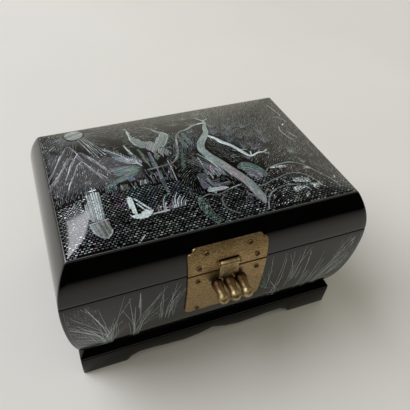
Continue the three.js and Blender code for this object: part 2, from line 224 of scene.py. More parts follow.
def brass_material(name, dark, light, scale, relief, shaded_foot=False):
    work = material_nodes(name)
    etch = work.noise(scale, 6)
    lines = work.add(
        "TexWave", (("bands_direction", "Z"),),
        Scale=150, Distortion=14, Detail=3, Detail_Scale=1.5, Vector=work.coordinates(),
    )
    cut = work.ramp(lines.outputs["Color"], (0.2, (0.76, 0.74, 0.7)), (0.6, (1.12, 1.11, 1.07)))
    patina = work.ramp(work.noise(70, 3), (0.35, (0.85, 0.84, 0.8)), (0.65, (1.05, 1.05, 1.05)))
    tint = work.times(work.ramp(etch, (0.38, dark), (0.62, light)), work.times(patina, cut))
    if shaded_foot:
        # Tarnish and painted shade make the prongs brown and darkest against the plate; they grow lighter
        # towards the end
        tint = work.times(tint, work.ramp(
            work.share_of_y(*PRONG_SHADE_SPAN),
            (0, (0.13, 0.08, 0.05)), (0.35, (0.5, 0.38, 0.28)),
            (0.75, (1.1, 1.12, 1.0)), (1, (1.1, 1.05, 0.95)),
        ))
    work.bump(etch, 0.5, relief)
    return work.finish(Base_Color=tint, Metallic=0.85, Roughness=0.42)


# A tack head of dark brass, with painted shade in a ring round its middle; the centre and the rim are
# lighter
def tack_material():
    work = material_nodes("tack_brass")
    place = work.coordinates("Generated")
    flat = work.math("MULTIPLY", place, (1, 0, 1), kind="VectorMath", output="Vector")
    # Painted shade: a dark ring round the middle of the head
    head = work.ramp(
        work.math("DISTANCE", flat, (0.5, 0, 0.5), kind="VectorMath"),
        (0.1, (0.26, 0.16, 0.08)), (0.2, (0.06, 0.03, 0.015)),
        (0.34, (0.05, 0.027, 0.012)), (0.48, (0.3, 0.2, 0.09)),
    )
    tint = work.times(head, work.ramp(work.noise(700), (0.3, 0.8), (0.7, 1)))
    return work.finish(Base_Color=tint, Metallic=0.85, Roughness=0.42)


def velvet_material():
    work = material_nodes("red_velvet")
    pile = work.noise(900, 3)
    work.bump(pile, 0.5, 0.0004)
    tint = work.ramp(pile, (0.3, (0.12, 0.004, 0.012)), (0.7, (0.25, 0.012, 0.03)))
    return work.finish(Base_Color=tint, Roughness=0.9, Sheen_Weight=0.6)


def mirror_material():
    work = material_nodes("mirror_glass")
    haze = work.ramp(work.noise(12), (0.3, (0.78, 0.8, 0.81)), (0.7, (0.86, 0.88, 0.89)))
    return work.finish(Base_Color=haze, Metallic=1, Roughness=0.02)


# Each stroke's own colour is in the "tint" attribute. Noise adds the shell's play of colour.
def pearl_material():
    work = material_nodes("mother_of_pearl")
    tint = work.add("Attribute", (("attribute_name", "tint"),)).outputs["Color"]
    play = work.ramp(
        work.noise(330, 3),
        (0.3, (1.05, 0.78, 0.92)), (0.42, (0.8, 0.95, 1.05)), (0.5, (1, 1, 1)),
        (0.58, (0.78, 1.03, 0.93)), (0.7, (0.92, 0.8, 1.05)),
    )
    layers = work.ramp(work.noise(700), (0.3, 0.5), (0.7, 1.0))
    return work.finish(
        Base_Color=work.times(work.times(tint, play), layers),
        Metallic=0.1, Roughness=0.3, Coat_Weight=0.8, Coat_Roughness=0.1,
    )


LOOKS = {
    "lacquer": lacquer_material("black_lacquer", 0.5),
    "brass": brass_material("etched_brass", (0.315, 0.205, 0.085), (0.49, 0.35, 0.18), 1500, 0.0002),
    "velvet": velvet_material(),
    "mirror_glass": mirror_material(),
}
PEARL = pearl_material()
PLINTH_LACQUER = lacquer_material("plinth_lacquer", 0.22)
SMOOTH_BRASS = brass_material("smooth_brass", (0.46, 0.33, 0.17), (0.64, 0.49, 0.29), 300, 0.0001)
# The prongs' brass has painted shade at the foot
PRONG_BRASS = brass_material("prong_brass", (0.3, 0.22, 0.12), (0.46, 0.37, 0.22), 200, 0.0003, shaded_foot=True)
TACK_BRASS = tack_material()


def dress_nodes():
    for part in frame["record"]["subparts"]:
        thing = frame["nodes"][part["node"]]
        thing.data.materials.clear()
        tack = part["node"].startswith("tack")
        thing.data.materials.append(TACK_BRASS if tack else LOOKS[part["material_slot"]])
        if part["material_slot"] in ("brass", "mirror_glass"):
            edge = thing.modifiers.new("worn_edge", "BEVEL")
            edge.width = MIRROR_BEVEL if part["node"] == "lid_mirror" else BRASS_BEVEL
            edge.segments = 2
            edge.limit_method = "ANGLE"
            edge.angle_limit = math.radians(50)


# Meshes

def mesh_object(name, shape):
    mesh = bpy.data.meshes.new(name)
    mesh.from_pydata([metres(p) for p in shape[0]], [], shape[1])
    thing = bpy.data.objects.new(name, mesh)
    bpy.context.collection.objects.link(thing)
    return thing


# A piece on a body. Smooth, with the points joined that lie near each other, unless near is 0.
def mesh_piece(name, shape, body, slot, look=None, near=1e-6):
    thing = mesh_object(name, shape)
    thing.data.materials.append(look or LOOKS[slot])
    if near:
        thing.data.shade_smooth()
        clean(thing, near)
    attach(thing, body)
    return thing


def clean(thing, near):
    work = bmesh.new()
    work.from_mesh(thing.data)
    bmesh.ops.remove_doubles(work, verts=work.verts, dist=near)
    bmesh.ops.recalc_face_normals(work, faces=work.faces)
    work.to_mesh(thing.data)
    work.free()


def polar(centre, reach, angle):
    return (centre[0] + reach * math.cos(angle), centre[1] + reach * math.sin(angle))


# A loop round the box at one height: a rectangle that stands offset outside the panel's edge
def ring(offset, z, radius, across=ACROSS, deep=DEEP):
    x = HALF_WIDTH + offset
    y = HALF_DEPTH + offset
    r = max(min(radius, x, y), 0)
    height = z if callable(z) else lambda *_: z
    loop = []
    sides = (
        (x - r, -y + r, 0, across), (x - r, y - r, 90, deep),
        (-x + r, y - r, 180, across), (-x + r, -y + r, 270, deep),
    )
    for i, (cx, cy, turn, count) in enumerate(sides):
        for k in range(CORNER):
            loop.append(polar((cx, cy), r, math.radians(turn - 90 + 90 * k / (CORNER - 1))))
        nx, ny, next_turn, _ = sides[(i + 1) % 4]
        start = loop[-1]
        end = polar((nx, ny), r, math.radians(next_turn - 90))
        steps = deep if i % 2 == 0 else across
        for k in range(1, steps):
            part = k / steps
            loop.append(tuple(a + (b - a) * part for a, b in zip(start, end)))
    return [(px, py, height(px, py)) for px, py in loop]


def loft(rings, closed=False):
    count = len(rings[0])
    points = [p for loop in rings for p in loop]
    faces = []
    for i in range(len(rings) - (0 if closed else 1)):
        a = i * count
        b = (i + 1) % len(rings) * count
        for k in range(count):
            n = (k + 1) % count
            faces.append((a + k, a + n, b + n, b + k))
    return points, faces


# The curves of the sides and the dome

def case_offset(z):
    if z > BULGE_HEIGHT:
        rise = (z - BULGE_HEIGHT) / (SEAM - BULGE_HEIGHT)
        return BULGE - (BULGE - SEAM_OFFSET) * rise * rise
    drop = (BULGE_HEIGHT - z) / (BULGE_HEIGHT - MOULDING_TOP + CASE_CURVE_BELOW)
    return BULGE - CASE_CURVE_DEPTH * (1 - math.sqrt(1 - drop * drop))


def lid_offset(z):
    def reach(height):
        return math.sqrt(LID_CURVE_RADIUS ** 2 - height ** 2)
    centre = SEAM - LID_CURVE_BELOW
    inset = reach(PANEL_EDGE - centre)
    return SEAM_OFFSET * (reach(min(z, PANEL_EDGE) - centre) - inset) / (reach(LID_CURVE_BELOW) - inset)


def dome(x, y):
    across = max(1 - min(abs(x) / HALF_WIDTH, 1) ** DOME_POWER, 1e-6)
    deep = max(1 - min(abs(y) / HALF_DEPTH, 1) ** DOME_POWER, 1e-6)
    return PANEL_EDGE + DOME_RISE / math.sqrt(across ** -2 + deep ** -2 - 1)


# The lock

LOCK_X = 0.8
PLATE_STAND = 1.3
HASP_STAND = PLATE_STAND + 0.6
HASP_THICKNESS = 1.4
HASP_HALF = 6.1
TONGUE_HALF = 2.6
HASP_END = SEAM - 3.9
KNUCKLE_Z = SEAM + 5.7
PRONG_Z = SEAM - 8.5
PRONG_PITCH = 7.8
PRONG_DROOP = 0.18
CASE_FACE = -(HALF_DEPTH + case_offset(PRONG_Z))
PRONG_Y = CASE_FACE - PLATE_STAND - GAP - 0.64
STEM_END = CASE_FACE + 4.5
# Radius and distance from the foot, for a bulb, a waist and a ball
PRONG = (
    (0, 0), (2.8, 0), (3.44, 0.35), (3.68, 1.1), (3.7, 2.1), (3.6, 3.3), (3.34, 4.6), (3.02, 5.9),
    (2.86, 7.0), (2.8, 7.8), (2.88, 8.6), (3.06, 9.4), (3.28, 10.3), (3.44, 11.3), (3.45, 12.1),
    (3.25, 13.1), (2.8, 14.0), (2.1, 14.7), (1.2, 15.05), (0, 15.2),
)


# A turned form that points forward from its origin, tilted down
def turned(profile, origin, tilt, count=28, closed=False, axis=None):
    ahead = axis or Vector((0, -math.cos(tilt), -math.sin(tilt)))
    across = Vector((1, 0, 0)) if not axis else Vector((0, 1, 0))
    above = across.cross(ahead)
    rings = []
    for radius, reach in profile:
        rings.append([
            Vector(origin) + ahead * reach + radius * (
                across * math.cos(math.tau * k / count) + above * math.sin(math.tau * k / count))
            for k in range(count)
        ])
    return loft(rings, closed)


def drill(thing, shape):
    cutter = mesh_object("cutter", shape)
    clean(cutter, 1e-6)
    cut = thing.modifiers.new("hole", "BOOLEAN")
    cut.object = cutter
    cut.solver = "EXACT"
    graph = bpy.context.evaluated_depsgraph_get()
    thing.data = bpy.data.meshes.new_from_object(thing.evaluated_get(graph))
    thing.modifiers.clear()
    bpy.data.objects.remove(cutter)


# The lid, the case and the plinth

def lid_shell():
    low = SEAM + GAP / 2
    rings = [
        ring(-WALL, PANEL_EDGE - ROOF_THICKNESS, 1),
        ring(-WALL, low, 1),
        ring(SEAM_OFFSET - 0.35, low, EDGE_RADIUS),
        ring(SEAM_OFFSET - 0.08, low + 0.12, EDGE_RADIUS),
        ring(lid_offset(low + 0.5), low + 0.5, EDGE_RADIUS),
    ]
    steps = 14
    shoulder = PANEL_EDGE - 0.9
    for i in range(1, steps + 1):
        z = low + 0.5 + (shoulder - low - 0.5) * i / steps
        rings.append(ring(lid_offset(z), z, EDGE_RADIUS))
    # A rounded corner from the shoulder at a to the dome at b
    a = (lid_offset(shoulder), shoulder)
    inset = 1.1
    b = (-inset, PANEL_EDGE + 0.17)
    for t in (0.3, 0.5, 0.7):
        offset = a[0] * (1 - t) ** 2 + b[0] * t * t
        z = a[1] * (1 - t) ** 2 + 2 * t * (1 - t) * PANEL_EDGE + b[1] * t * t
        rings.append(ring(offset, z, EDGE_RADIUS))
    # Rings over the dome, closer together near its edge
    while inset < HALF_DEPTH - 0.6:
        rings.append(ring(-inset, dome, max(EDGE_RADIUS - inset / 6, 0.4)))
        inset += 1.2 + 0.05 * inset if inset < 20 else 2.4
    rings.append(ring(-HALF_DEPTH + 0.001, dome, 0))
    points, faces = loft(rings)
    faces.append(tuple(range(len(rings[0]))))
    shell = mesh_piece("lid_shell", (points, faces), "lid", "lacquer", near=2e-6)
    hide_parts("lid_top_panel", *[f"lid_rail_{side}" for side in SIDES])


# Lower edge of the plinth's front, sideways from its middle to the end of its foot
def apron_height(along, half):
    reach = half * (1 - FOOT_SHARE)
    share = min(abs(along) / reach, 1)
    for (s0, z0), (s1, z1) in zip(APRON, APRON[1:]):
        if share <= s1:
            part = (share - s0) / (s1 - s0)
            eased = part * part * (3 - 2 * part)
            return z0 + (z1 - z0) * (part if s0 == 0 else eased)
    return 0


def plinth_upper():
    low = PLINTH_TOP + GAP
    top = MOULDING_TOP
    profile = [
        (-MOULDING_DEPTH, low), (4.2, low), (4.6, low + 0.15), (4.75, low + 0.5), (4.7, low + 0.9),
        (4.5, low + 1.25), (1.35, top - 0.2), (1.0, top), (-MOULDING_DEPTH, top),
    ]
    shape = loft([ring(offset, z, 0.9) for offset, z in profile], closed=True)
    piece = mesh_piece("plinth_upper", shape, "case", "lacquer", PLINTH_LACQUER)
    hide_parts(*[f"plinth_moulding_{side}" for side in SIDES])


def plinth_lower():
    def edge(lift):
        def height(x, y):
            if HALF_DEPTH - abs(y) < HALF_WIDTH - abs(x):
                return apron_height(x, HALF_WIDTH + PLINTH_OFFSET) + lift
            return apron_height(y, HALF_DEPTH + PLINTH_OFFSET) + lift
        return height
    out = PLINTH_OFFSET
    back = out - RAIL_THICKNESS
    top = PLINTH_TOP - 0.05
    profile = (
        (back, edge(0), 0.2), (out - 0.5, edge(0), 0.6), (out - 0.1, edge(0.15), 0.9), (out, edge(0.55), 1),
        (out, top - 0.85, 1), (out - 0.25, top - 0.3, 0.9), (out - 0.9, top, 0.6), (back, top, 0.2),
    )
    shape = loft([ring(*step, 150, 100) for step in profile], closed=True)
    piece = mesh_piece("plinth_lower", shape, "case", "lacquer", PLINTH_LACQUER)
    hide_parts(*[f"plinth_rail_{side}" for side in SIDES])


def case_shell():
    low = MOULDING_TOP + GAP
    high = SEAM - GAP / 2
    rings = [ring(-WALL, low, 1)]
    steps = 24
    for i in range(steps + 1):
        z = low + (high - 0.5 - low) * i / steps
        rings.append(ring(case_offset(z), z, EDGE_RADIUS))
    rings += [
        ring(SEAM_OFFSET - 0.08, high - 0.12, EDGE_RADIUS),
        ring(SEAM_OFFSET - 0.35, high, EDGE_RADIUS),
        ring(-WALL, high, 1),
    ]
    shell = mesh_piece("case_shell", loft(rings, closed=True), "case", "lacquer")
    for side in (-1, 1):
        origin = (LOCK_X + side * PRONG_PITCH, STEM_END + 0.5, PRONG_Z)
        bore = turned([(0, 0), (2.1, 0), (2.1, 20), (0, 20)], origin, 0)
        drill(shell, bore)
    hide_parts(*[f"case_wall_{side}" for side in SIDES])


# The lock's hasp and catches

def joined(*shapes):
    points, faces = [], []
    for more_points, more_faces in shapes:
        first = len(points)
        points += more_points
        faces += [tuple(first + i for i in face) for face in more_faces]
    return points, faces


# Part of the hasp's leaf, which follows the front with rounded edges
def leaf_strip(half, low, high):
    corners = ((-1, -1), (1, -1), (1, 1), (-1, 1))
    rounding = 0.45
    rings = []
    steps = 12
    for i in range(-1, steps + 2):
        z = low + (high - low) * min(max(i, 0.04), steps - 0.04) / steps
        shrink = 0.25 if i in (-1, steps + 1) else 0
        offset = lid_offset(z) if z > SEAM else case_offset(z)
        middle = HALF_DEPTH + offset + HASP_STAND + HASP_THICKNESS / 2
        ring_points = []
        for n, (a, b) in enumerate(corners):
            for k in range(4):
                angle = math.radians(180 + 90 * n + 30 * k)
                x = a * (half - rounding) + (rounding - shrink) * math.cos(angle)
                y = b * (HASP_THICKNESS / 2 - rounding) + (rounding - shrink) * math.sin(angle)
                ring_points.append((LOCK_X + x, -middle + y, low if i < 0 else high if i > steps else z))
        rings.append(ring_points)
    points, faces = loft(rings)
    count = len(rings[0])
    last = len(points) - count
    return points, faces + [tuple(range(count)), tuple(range(last, last + count))]


def hasp_and_catches():
    knuckle_y = -(HALF_DEPTH + lid_offset(KNUCKLE_Z) + HASP_STAND + HASP_THICKNESS / 2)
    tube = [(0.76, 0), (1.6, 0), (1.9, 0.3), (1.9, 11.9), (1.6, 12.2), (0.76, 12.2)]
    shapes = joined(
        turned(tube, (LOCK_X - HASP_HALF, knuckle_y, KNUCKLE_Z), 0, 32, True, Vector((1, 0, 0))),
        leaf_strip(HASP_HALF, HASP_END, KNUCKLE_Z - 1.2),
        leaf_strip(TONGUE_HALF, PRONG_Z, HASP_END + 1),
    )
    leaf = mesh_piece("hasp_leaf", shapes, "hasp", "brass", SMOOTH_BRASS)
    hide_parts("hasp")
    shape = turned(PRONG, (LOCK_X, PRONG_Y, PRONG_Z), PRONG_DROOP)
    mesh_piece("hasp_prong", shape, "hasp", "brass", PRONG_BRASS)
    tail = STEM_END - PRONG_Y + 1.5
    stem = [(0, 0), (1.5, 0), (1.6, 0.1), (1.6, tail), (0, tail)]
    for side, name in ((-1, "left"), (1, "right")):
        x = LOCK_X + side * PRONG_PITCH
        shapes = joined(
            turned(PRONG, (x, PRONG_Y, PRONG_Z), PRONG_DROOP), turned(stem, (x, STEM_END, PRONG_Z), 0),
        )
        catch = mesh_piece(f"{name}_catch_prong", shapes, f"{name}_catch", "brass", PRONG_BRASS)
        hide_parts(f"catch_{name}")


PAD_STEP = 1.5
PAD_RIM = 2.5


# Inside: a velvet pad in each soft solid's place, full in the middle and thin at its edges
def velvet_pad(node_name, body):
    corners = [Vector((p[0], p[1] - SHIFT_Y, p[2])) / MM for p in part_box(node_name)]
    middle = (corners[0] + corners[1]) / 2
    half = (corners[1] - corners[0]) / 2
    thin = min(range(3), key=lambda i: half[i])
    wide = [i for i in range(3) if i != thin]
    counts = [max(round(half[i] / PAD_STEP), 12) for i in wide]
    rim = PAD_RIM * half[thin]
    points = []
    for face in (1, -1):
        for a in range(counts[0] + 1):
            for b in range(counts[1] + 1):
                turns = [math.pi / 2 * (2 * k / count - 1) for k, count in zip((a, b), counts)]
                place = [half[i] * math.sin(turn) for i, turn in zip(wide, turns)]
                edge = min(half[i] - abs(p) for i, p in zip(wide, place))
                swell = math.sqrt(max(1 - (1 - min(edge / rim, 1)) ** 2, 0))
                rumple = 0.94 + 0.06 * math.sin(place[0] * 0.21 + 2 * math.sin(place[1] * 0.13))
                point = middle.copy()
                point[wide[0]] += place[0]
                point[wide[1]] += place[1]
                point[thin] += face * half[thin] * swell * rumple
                points.append(point)
    across = counts[1] + 1
    lower = (counts[0] + 1) * across
    faces = []
    for a in range(counts[0]):
        for b in range(counts[1]):
            k = a * across + b
            quad = (k, k + across, k + across + 1, k + 1)
            faces += [quad, tuple(lower + i for i in reversed(quad))]
    piece = mesh_piece(f"velvet_{node_name}", (points, faces), body, "velvet")
    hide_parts(node_name)


# The inlay: slivers of shell set into the lacquer, drawn in millimetres across a face of the box

TINTS = {
    "glint": (0.95, 1.0, 1.0), "white": (0.7, 0.73, 0.73), "pearl": (0.38, 0.41, 0.40),
    "teal": (0.13, 0.25, 0.23), "green": (0.16, 0.28, 0.18), "lilac": (0.28, 0.24, 0.33),
    "pink": (0.44, 0.27, 0.39), "blue": (0.13, 0.185, 0.28), "grey": (0.18, 0.185, 0.19),
    "tan": (0.24, 0.205, 0.17), "orange": (0.31, 0.2, 0.13), "smoke": (0.07, 0.069, 0.071),
    "rose": (0.47, 0.41, 0.43), "sage": (0.39, 0.46, 0.42),
}
SHELL_SUNK = 0.05
SHELL_LIFT = 0.015
NARROWEST = 0.08
SHORTEST_SLAT = 0.3


def along(values, share):
    if isinstance(values, (int, float)):
        return values
    place = share * (len(values) - 1)
    i = min(int(place), len(values) - 2)
    return values[i] + (values[i + 1] - values[i]) * (place - i)


# A smooth line through the points, cut into short steps
def curve(points, step=1.6):
    line = [points[0]]
    last = len(points) - 1
    for i in range(last):
        p0, p1, p2, p3 = points[max(i - 1, 0)], points[i], points[i + 1], points[min(i + 2, last)]
        count = max(round(math.dist(p1, p2) / step), 1)
        for k in range(1, count + 1):
            t = k / count
            line.append(tuple(
                0.5 * (2 * b + (c - a) * t + (2 * a - 5 * b + 4 * c - d) * t ** 2
                       + (3 * b - a - 3 * c + d) * t ** 3)
                for a, b, c, d in zip(p0, p1, p2, p3)
            ))
    return line


# The point that lies a distance to the left of a line's point
def beside(line, i, distance):
    u1, v1 = line[max(i - 1, 0)]
    u2, v2 = line[min(i + 1, len(line) - 1)]
    size = math.hypot(u2 - u1, v2 - v1)
    return (line[i][0] - (v2 - v1) / size * distance, line[i][1] + (u2 - u1) / size * distance)


def band_outline(line, width):
    last = len(line) - 1
    left = [beside(line, i, along(width, i / last) / 2) for i in range(last + 1)]
    right = [beside(line, i, -along(width, i / last) / 2) for i in range(last + 1)]
    return left + right[::-1]


def inside(region, u, v):
    found = False
    for (u1, v1), (u2, v2) in zip(region, region[1:] + region[:1]):
        if (v1 > v) != (v2 > v) and u < u1 + (u2 - u1) * (v - v1) / (v2 - v1):
            found = not found
    return found


# Turned about the middle of the face; the negative angle turns it back
def rotated(point, angle):
    u, v = point
    return (u * math.cos(angle) + v * math.sin(angle), v * math.cos(angle) - u * math.sin(angle))


def steps_between(first, last, count):
    return [tuple(p + (q - p) * k / count for p, q in zip(first, last)) for k in range(count + 1)]


def on_lid(u, v, lift):
    return (u, v, dome(u, v) + lift)


def on_front(u, v, lift):
    return (u, -HALF_DEPTH - case_offset(v) - lift, v)


def on_back(u, v, lift):
    return (-u, HALF_DEPTH + case_offset(v) + lift, v)


def on_right(u, v, lift):
    return (HALF_WIDTH + case_offset(v) + lift, u, v)


def on_left(u, v, lift):
    return (-HALF_WIDTH - case_offset(v) - lift, -u, v)


class Inlay:
    def __init__(self, name, body, seed):
        self.name = name
        self.body = body
        self.random = random.Random(seed)
        self.chance = self.random.uniform
        self.surface = on_lid
        self.clear = ()
        self.limit = None
        self.points = []
        self.faces = []
        self.tints = []

    # The colour drifts across the picture, with a little chance in it
    def tint(self, names, play, u, v):
        choices = names.split()
        drift = math.sin(0.21 * u + 1.7 * math.sin(0.13 * v)) + math.sin(0.19 * v - 0.12 * u + 2)
        place = (drift / 4 + 0.5) * 1.6 + self.chance(-0.35, 0.35)
        color = TINTS[choices[int(place * len(choices)) % len(choices)]]
        light = 1 - play + 2 * play * self.random.random() ** 1.5
        return tuple(part * light for part in color)

    def stroke(self, route, width, names, play=0.3, lift=SHELL_LIFT, smooth=True):
        line = curve(route) if smooth else list(route)
        if self.limit:
            beyond = [i for i, (u, v) in enumerate(line) if abs(u) > self.limit + case_offset(v)]
            line = line[:beyond[0]] if beyond else line
            if len(line) < 2:
                return
        color = self.tint(names, play, *line[0])
        first = len(self.points)
        last = len(line) - 1
        for i, (u, v) in enumerate(line):
            (u1, v1), (u2, v2) = line[max(i - 1, 0)], line[min(i + 1, last)]
            du, dv = u2 - u1, v2 - v1
            half = max(along(width, i / last), NARROWEST) / 2 / (math.hypot(du, dv) or 1)
            self.points += [
                self.surface(u - dv * half, v + du * half, lift),
                self.surface(u, v, -SHELL_SUNK),
                self.surface(u + dv * half, v - du * half, lift),
            ]
            self.tints += [color] * 3
        self.faces.append((first, first + 1, first + 2))
        for i in range(last):
            a = first + 3 * i
            b = a + 3
            self.faces += [(a + 2, b + 2, b, a), (a, b, b + 1, a + 1), (a + 1, b + 1, b + 2, a + 2)]
        end = first + 3 * last
        self.faces.append((end + 2, end + 1, end))

    # A wide line: narrow strands side by side, each cut across into pieces of shell
    def band(self, route, width, names, piece=5, strands=1, lift=SHELL_LIFT + 0.02, play=0.25):
        line = curve(route, 1.0)
        last = len(line) - 1
        if strands > 1:
            self.clear += (band_outline(line, width),)
        for strand in range(strands):
            side = (strand + 0.5) / strands - 0.5
            shifted = [beside(line, i, side * along(width, i / last)) for i in range(last + 1)]
            start = 0
            while start < last:
                end = min(start + max(round(piece * self.chance(0.6, 1.4)), 2), last)
                if last - end < 2:
                    end = last
                widths = [along(width, i / last) / strands + 0.02 for i in range(start, end + 1)]
                choice = names(*shifted[start]) if callable(names) else names
                self.stroke(shifted[start:end + 1], widths, choice, play, lift, smooth=False)
                start = end

    # An outline filled with strips that lie side by side
    def slats(self, outline, angle, pitch, names, gap=0.12, play=0.35, lift=SHELL_LIFT + 0.01):
        self.clear += (outline,)
        angle = math.radians(angle)
        flat = [rotated(point, angle) for point in outline]
        low = min(v for _, v in flat)
        high = max(v for _, v in flat)
        count = max(round((high - low) / pitch), 1)
        for i in range(count):
            v = low + (high - low) * (i + 0.5) / count
            cuts = sorted(
                u1 + (u2 - u1) * (v - v1) / (v2 - v1)
                for (u1, v1), (u2, v2) in zip(flat, flat[1:] + flat[:1]) if (v1 > v) != (v2 > v)
            )
            for u1, u2 in zip(cuts[::2], cuts[1::2]):
                if u2 - u1 >= SHORTEST_SLAT:
                    ends = [rotated((u, v), -angle) for u in (u1, u2)]
                    route = steps_between(*ends, max(round((u2 - u1) / 4), 1))
                    self.stroke(route, (high - low) / count - gap, names, play, lift, smooth=False)

    # Short strokes in staggered rows over a region
    def field(
        self, region, pitch, rows, angle, length, width, names, keep=1.0, jitter=0.2, play=0.6, wave=0,
    ):
        angle = math.radians(angle)
        us, vs = zip(*[rotated(point, angle) for point in region])
        low_u, low_v = min(us), min(vs)
        for row in range(int((max(vs) - low_v) / rows) + 1):
            for k in range(int((max(us) - low_u) / pitch) + 2):
                u = low_u + (k + 0.5 * (row % 2) + jitter * self.chance(-0.5, 0.5)) * pitch
                v = low_v + (row + jitter * self.chance(-0.5, 0.5)) * rows
                half = length * self.chance(0.75, 1.15) / 2
                if self.random.random() <= keep:
                    ends = [rotated((s, v + wave * math.sin(0.3 * s)), -angle) for s in (u - half, u + half)]
                    self.placed(region, ends, width, names, play)

    # The same in rows that run round a centre
    def arcs(self, region, centre, rows, pitch, length, width, names, keep=0.9, play=0.6):
        reach = max(math.dist(centre, corner) for corner in region)
        for row in range(int(reach / rows)):
            radius = (row + 1) * rows
            count = max(int(2 * math.pi * radius / pitch), 3)
            for k in range(count):
                angle = (k + 0.5 * (row % 2) + self.chance(-0.15, 0.15)) * 2 * math.pi / count
                half = length * self.chance(0.75, 1.15) / 2 / radius
                route = [polar(centre, radius, angle + turn) for turn in (-half, 0, half)]
                if self.random.random() < keep:
                    self.placed(region, route, width, names, play)

    def placed(self, region, route, width, names, play):
        if all(inside(region, *point) for point in (route[0], route[-1])):
            if not any(inside(area, *route[0]) for area in self.clear):
                self.stroke(route, width, names(*route[0]) if callable(names) else names, play)

    # Lines one inside another, each drawn in towards a centre
    def nest(self, line, centre, count, inward, width, names, piece=4, play=0.4):
        for i in range(count):
            keep = 1 - inward * i
            ring_line = [tuple(c + (p - c) * keep for p, c in zip(point, centre)) for point in line]
            self.band(ring_line, width, names, piece, play=play)

    # Strokes that spread from one foot, like grass or needles
    def fan(self, foot, first, last, length, count, width, names, bend=0.0, play=0.5):
        for i in range(count):
            share = (i + 0.5) / count
            angle = math.radians(first + (last - first) * share + self.chance(-4, 4))
            reach = length * self.chance(0.6, 1.1)
            turn = math.radians(bend * (share - 0.5) * 2)
            mid = polar(foot, reach * 0.5, angle)
            tip = polar(mid, reach * 0.5, angle + turn)
            near = tuple(f + (m - f) * 0.12 for f, m in zip(foot, mid))
            self.stroke([near, mid, tip], (0.5 * width, width, 0.6 * width, 0.1), names, play)

    # A spine with leaflets on both sides
    def spray(self, foot, tip, width, names, count=9, play=0.4):
        du, dv = tip[0] - foot[0], tip[1] - foot[1]
        reach = math.hypot(du, dv)
        du, dv = du / reach, dv / reach
        self.stroke([foot, tip], (0.45, 0.2), names, play)
        for i in range(count):
            share = (i + 1) / (count + 1)
            u, v = foot[0] + du * reach * share, foot[1] + dv * reach * share
            size = width * (1.15 - 0.7 * share) * self.chance(0.8, 1.15)
            for side in (-1, 1):
                leaflet = [
                    (u + size * (du * out - side * dv * off), v + size * (dv * out + side * du * off))
                    for out, off in ((0, 0), (0.38, 0.34), (0.85, 0.6))
                ]
                self.stroke(leaflet, (0.15, 0.62, 0.62, 0.1), names, play)

    def finish(self):
        shape = (self.points, self.faces)
        piece = mesh_piece(self.name, shape, self.body, "lacquer", PEARL, near=0)
        colors = piece.data.color_attributes.new("tint", "FLOAT_COLOR", "POINT")
        colors.data.foreach_set("color", [part for tint in self.tints for part in (*tint, 1)])


def inlay_water(art):
    shore = [(-90, -29), (-86, -20), (-74, -18), (-73, -30)]
    swirl = [
        (-11, -37), (-13, -20), (-10, 8), (0, 12), (9, 8), (17, -10), (25, -33), (14, -35), (4, -36),
        (-4, -36),
    ]
    water = [
        (-90, -57.2), (90, -57.2), (90, -45), (80, -40), (72, -30), (50, -25), (42, -28), (34, -29),
        (27, -25), (26, -34), (15, -35.5), (-5, -38), (-9, -28), (-12, -20), (-28, -20), (-38, -18),
        (-50, -17), (-75, -16), (-90, -19),
    ]

    # The names of the water's colours at a place: pink at the left, teal in the middle
    def shade(u, v):
        wave = math.sin(u * 0.23 + 2 * math.sin(v * 0.19)) * math.cos(v * 0.31 - u * 0.07)
        if u > 45:
            names = "smoke tan smoke grey"
        elif v > -27 and u < -73:
            names = "pink white pearl white glint"
        elif v > -32 and -60 < u < -50:
            names = "pink pink lilac smoke"
        elif v < -44 and u < -74:
            names = "pink white white pearl"
        elif v > -36 and u > -48:
            names = "teal grey pearl grey grey blue"
        else:
            names = "grey pearl grey smoke grey sage tan"
        return names + (" white pearl" if wave > 0.3 else " smoke" if wave < -0.4 else " pearl")
    art.arcs(swirl, (5, -32), 1.35, 3, 2.6, 0.36, "smoke grey tan grey teal")
    art.field(shore, 1.9, 1.1, 0, 1.1, 0.6, shade, jitter=0.2, play=0.7)
    art.clear += (shore,)
    art.field(water, 2.35, 1.4, 0, 1.4, 0.58, shade, keep=0.96, jitter=0.16, play=0.6)
    art.stroke([(-49, -56.5), (-45.5, -53.5)], 0.7, "white")


def inlay_sun(art):
    middle = (-67.2, 50.7)
    radius = 6.3
    disc = [polar(middle, radius, math.radians(a)) for a in range(0, 360, 12)]
    art.slats(disc, 20, 0.7, "grey pearl", gap=0, play=0.1)
    for first, last in (
        ((-65.5, 44), (-58.5, 20)), ((-64.2, 45.5), (-56, 18)), ((-62.5, 45), (-53.5, 20)),
        ((-61.3, 44.5), (-51, 19)), ((-66, 43), (-60.5, 26)), ((-63.3, 43), (-55.5, 22)),
        ((-60.2, 42), (-50.5, 23)),
    ):
        art.band([first, last], 0.4, "pearl white grey", 4, play=0.4)
    art.nest([(-73.5, 48.5), (-80, 47.5), (-86, 44), (-90, 40)], (-70, 30), 5, 0.1, 0.5, "grey pearl smoke")
    for degrees in range(-178, 0, 4):
        angle = math.radians(degrees)
        reach = 12 + art.chance(2, 15)
        u, v = polar(middle, reach, angle)
        art.stroke([polar(middle, 8, angle), (u, max(v, 30))], (0.35, 0.15), "grey smoke grey")


MOUNTAINS = (
    [(-90, 10), (-85, 18), (-80, 29), (-75, 36.5), (-73, 37.3), (-71.5, 35.5), (-68.3, 27)],
    [
        (-80, 5), (-77.5, 10), (-75, 17), (-72, 22), (-69, 26.5), (-67.5, 28.3), (-65.5, 27), (-63, 23),
        (-58.5, 15.5), (-53.5, 5),
    ],
    [
        (-79.5, -5), (-78, 0), (-74, 8), (-70.5, 15.5), (-68.2, 18), (-66.5, 17.5), (-63, 10), (-60, 4),
        (-55, -3.5),
    ],
    [(-90, 3), (-84, 10), (-81, 15), (-78, 21), (-75, 24.3), (-73.5, 24)],
)


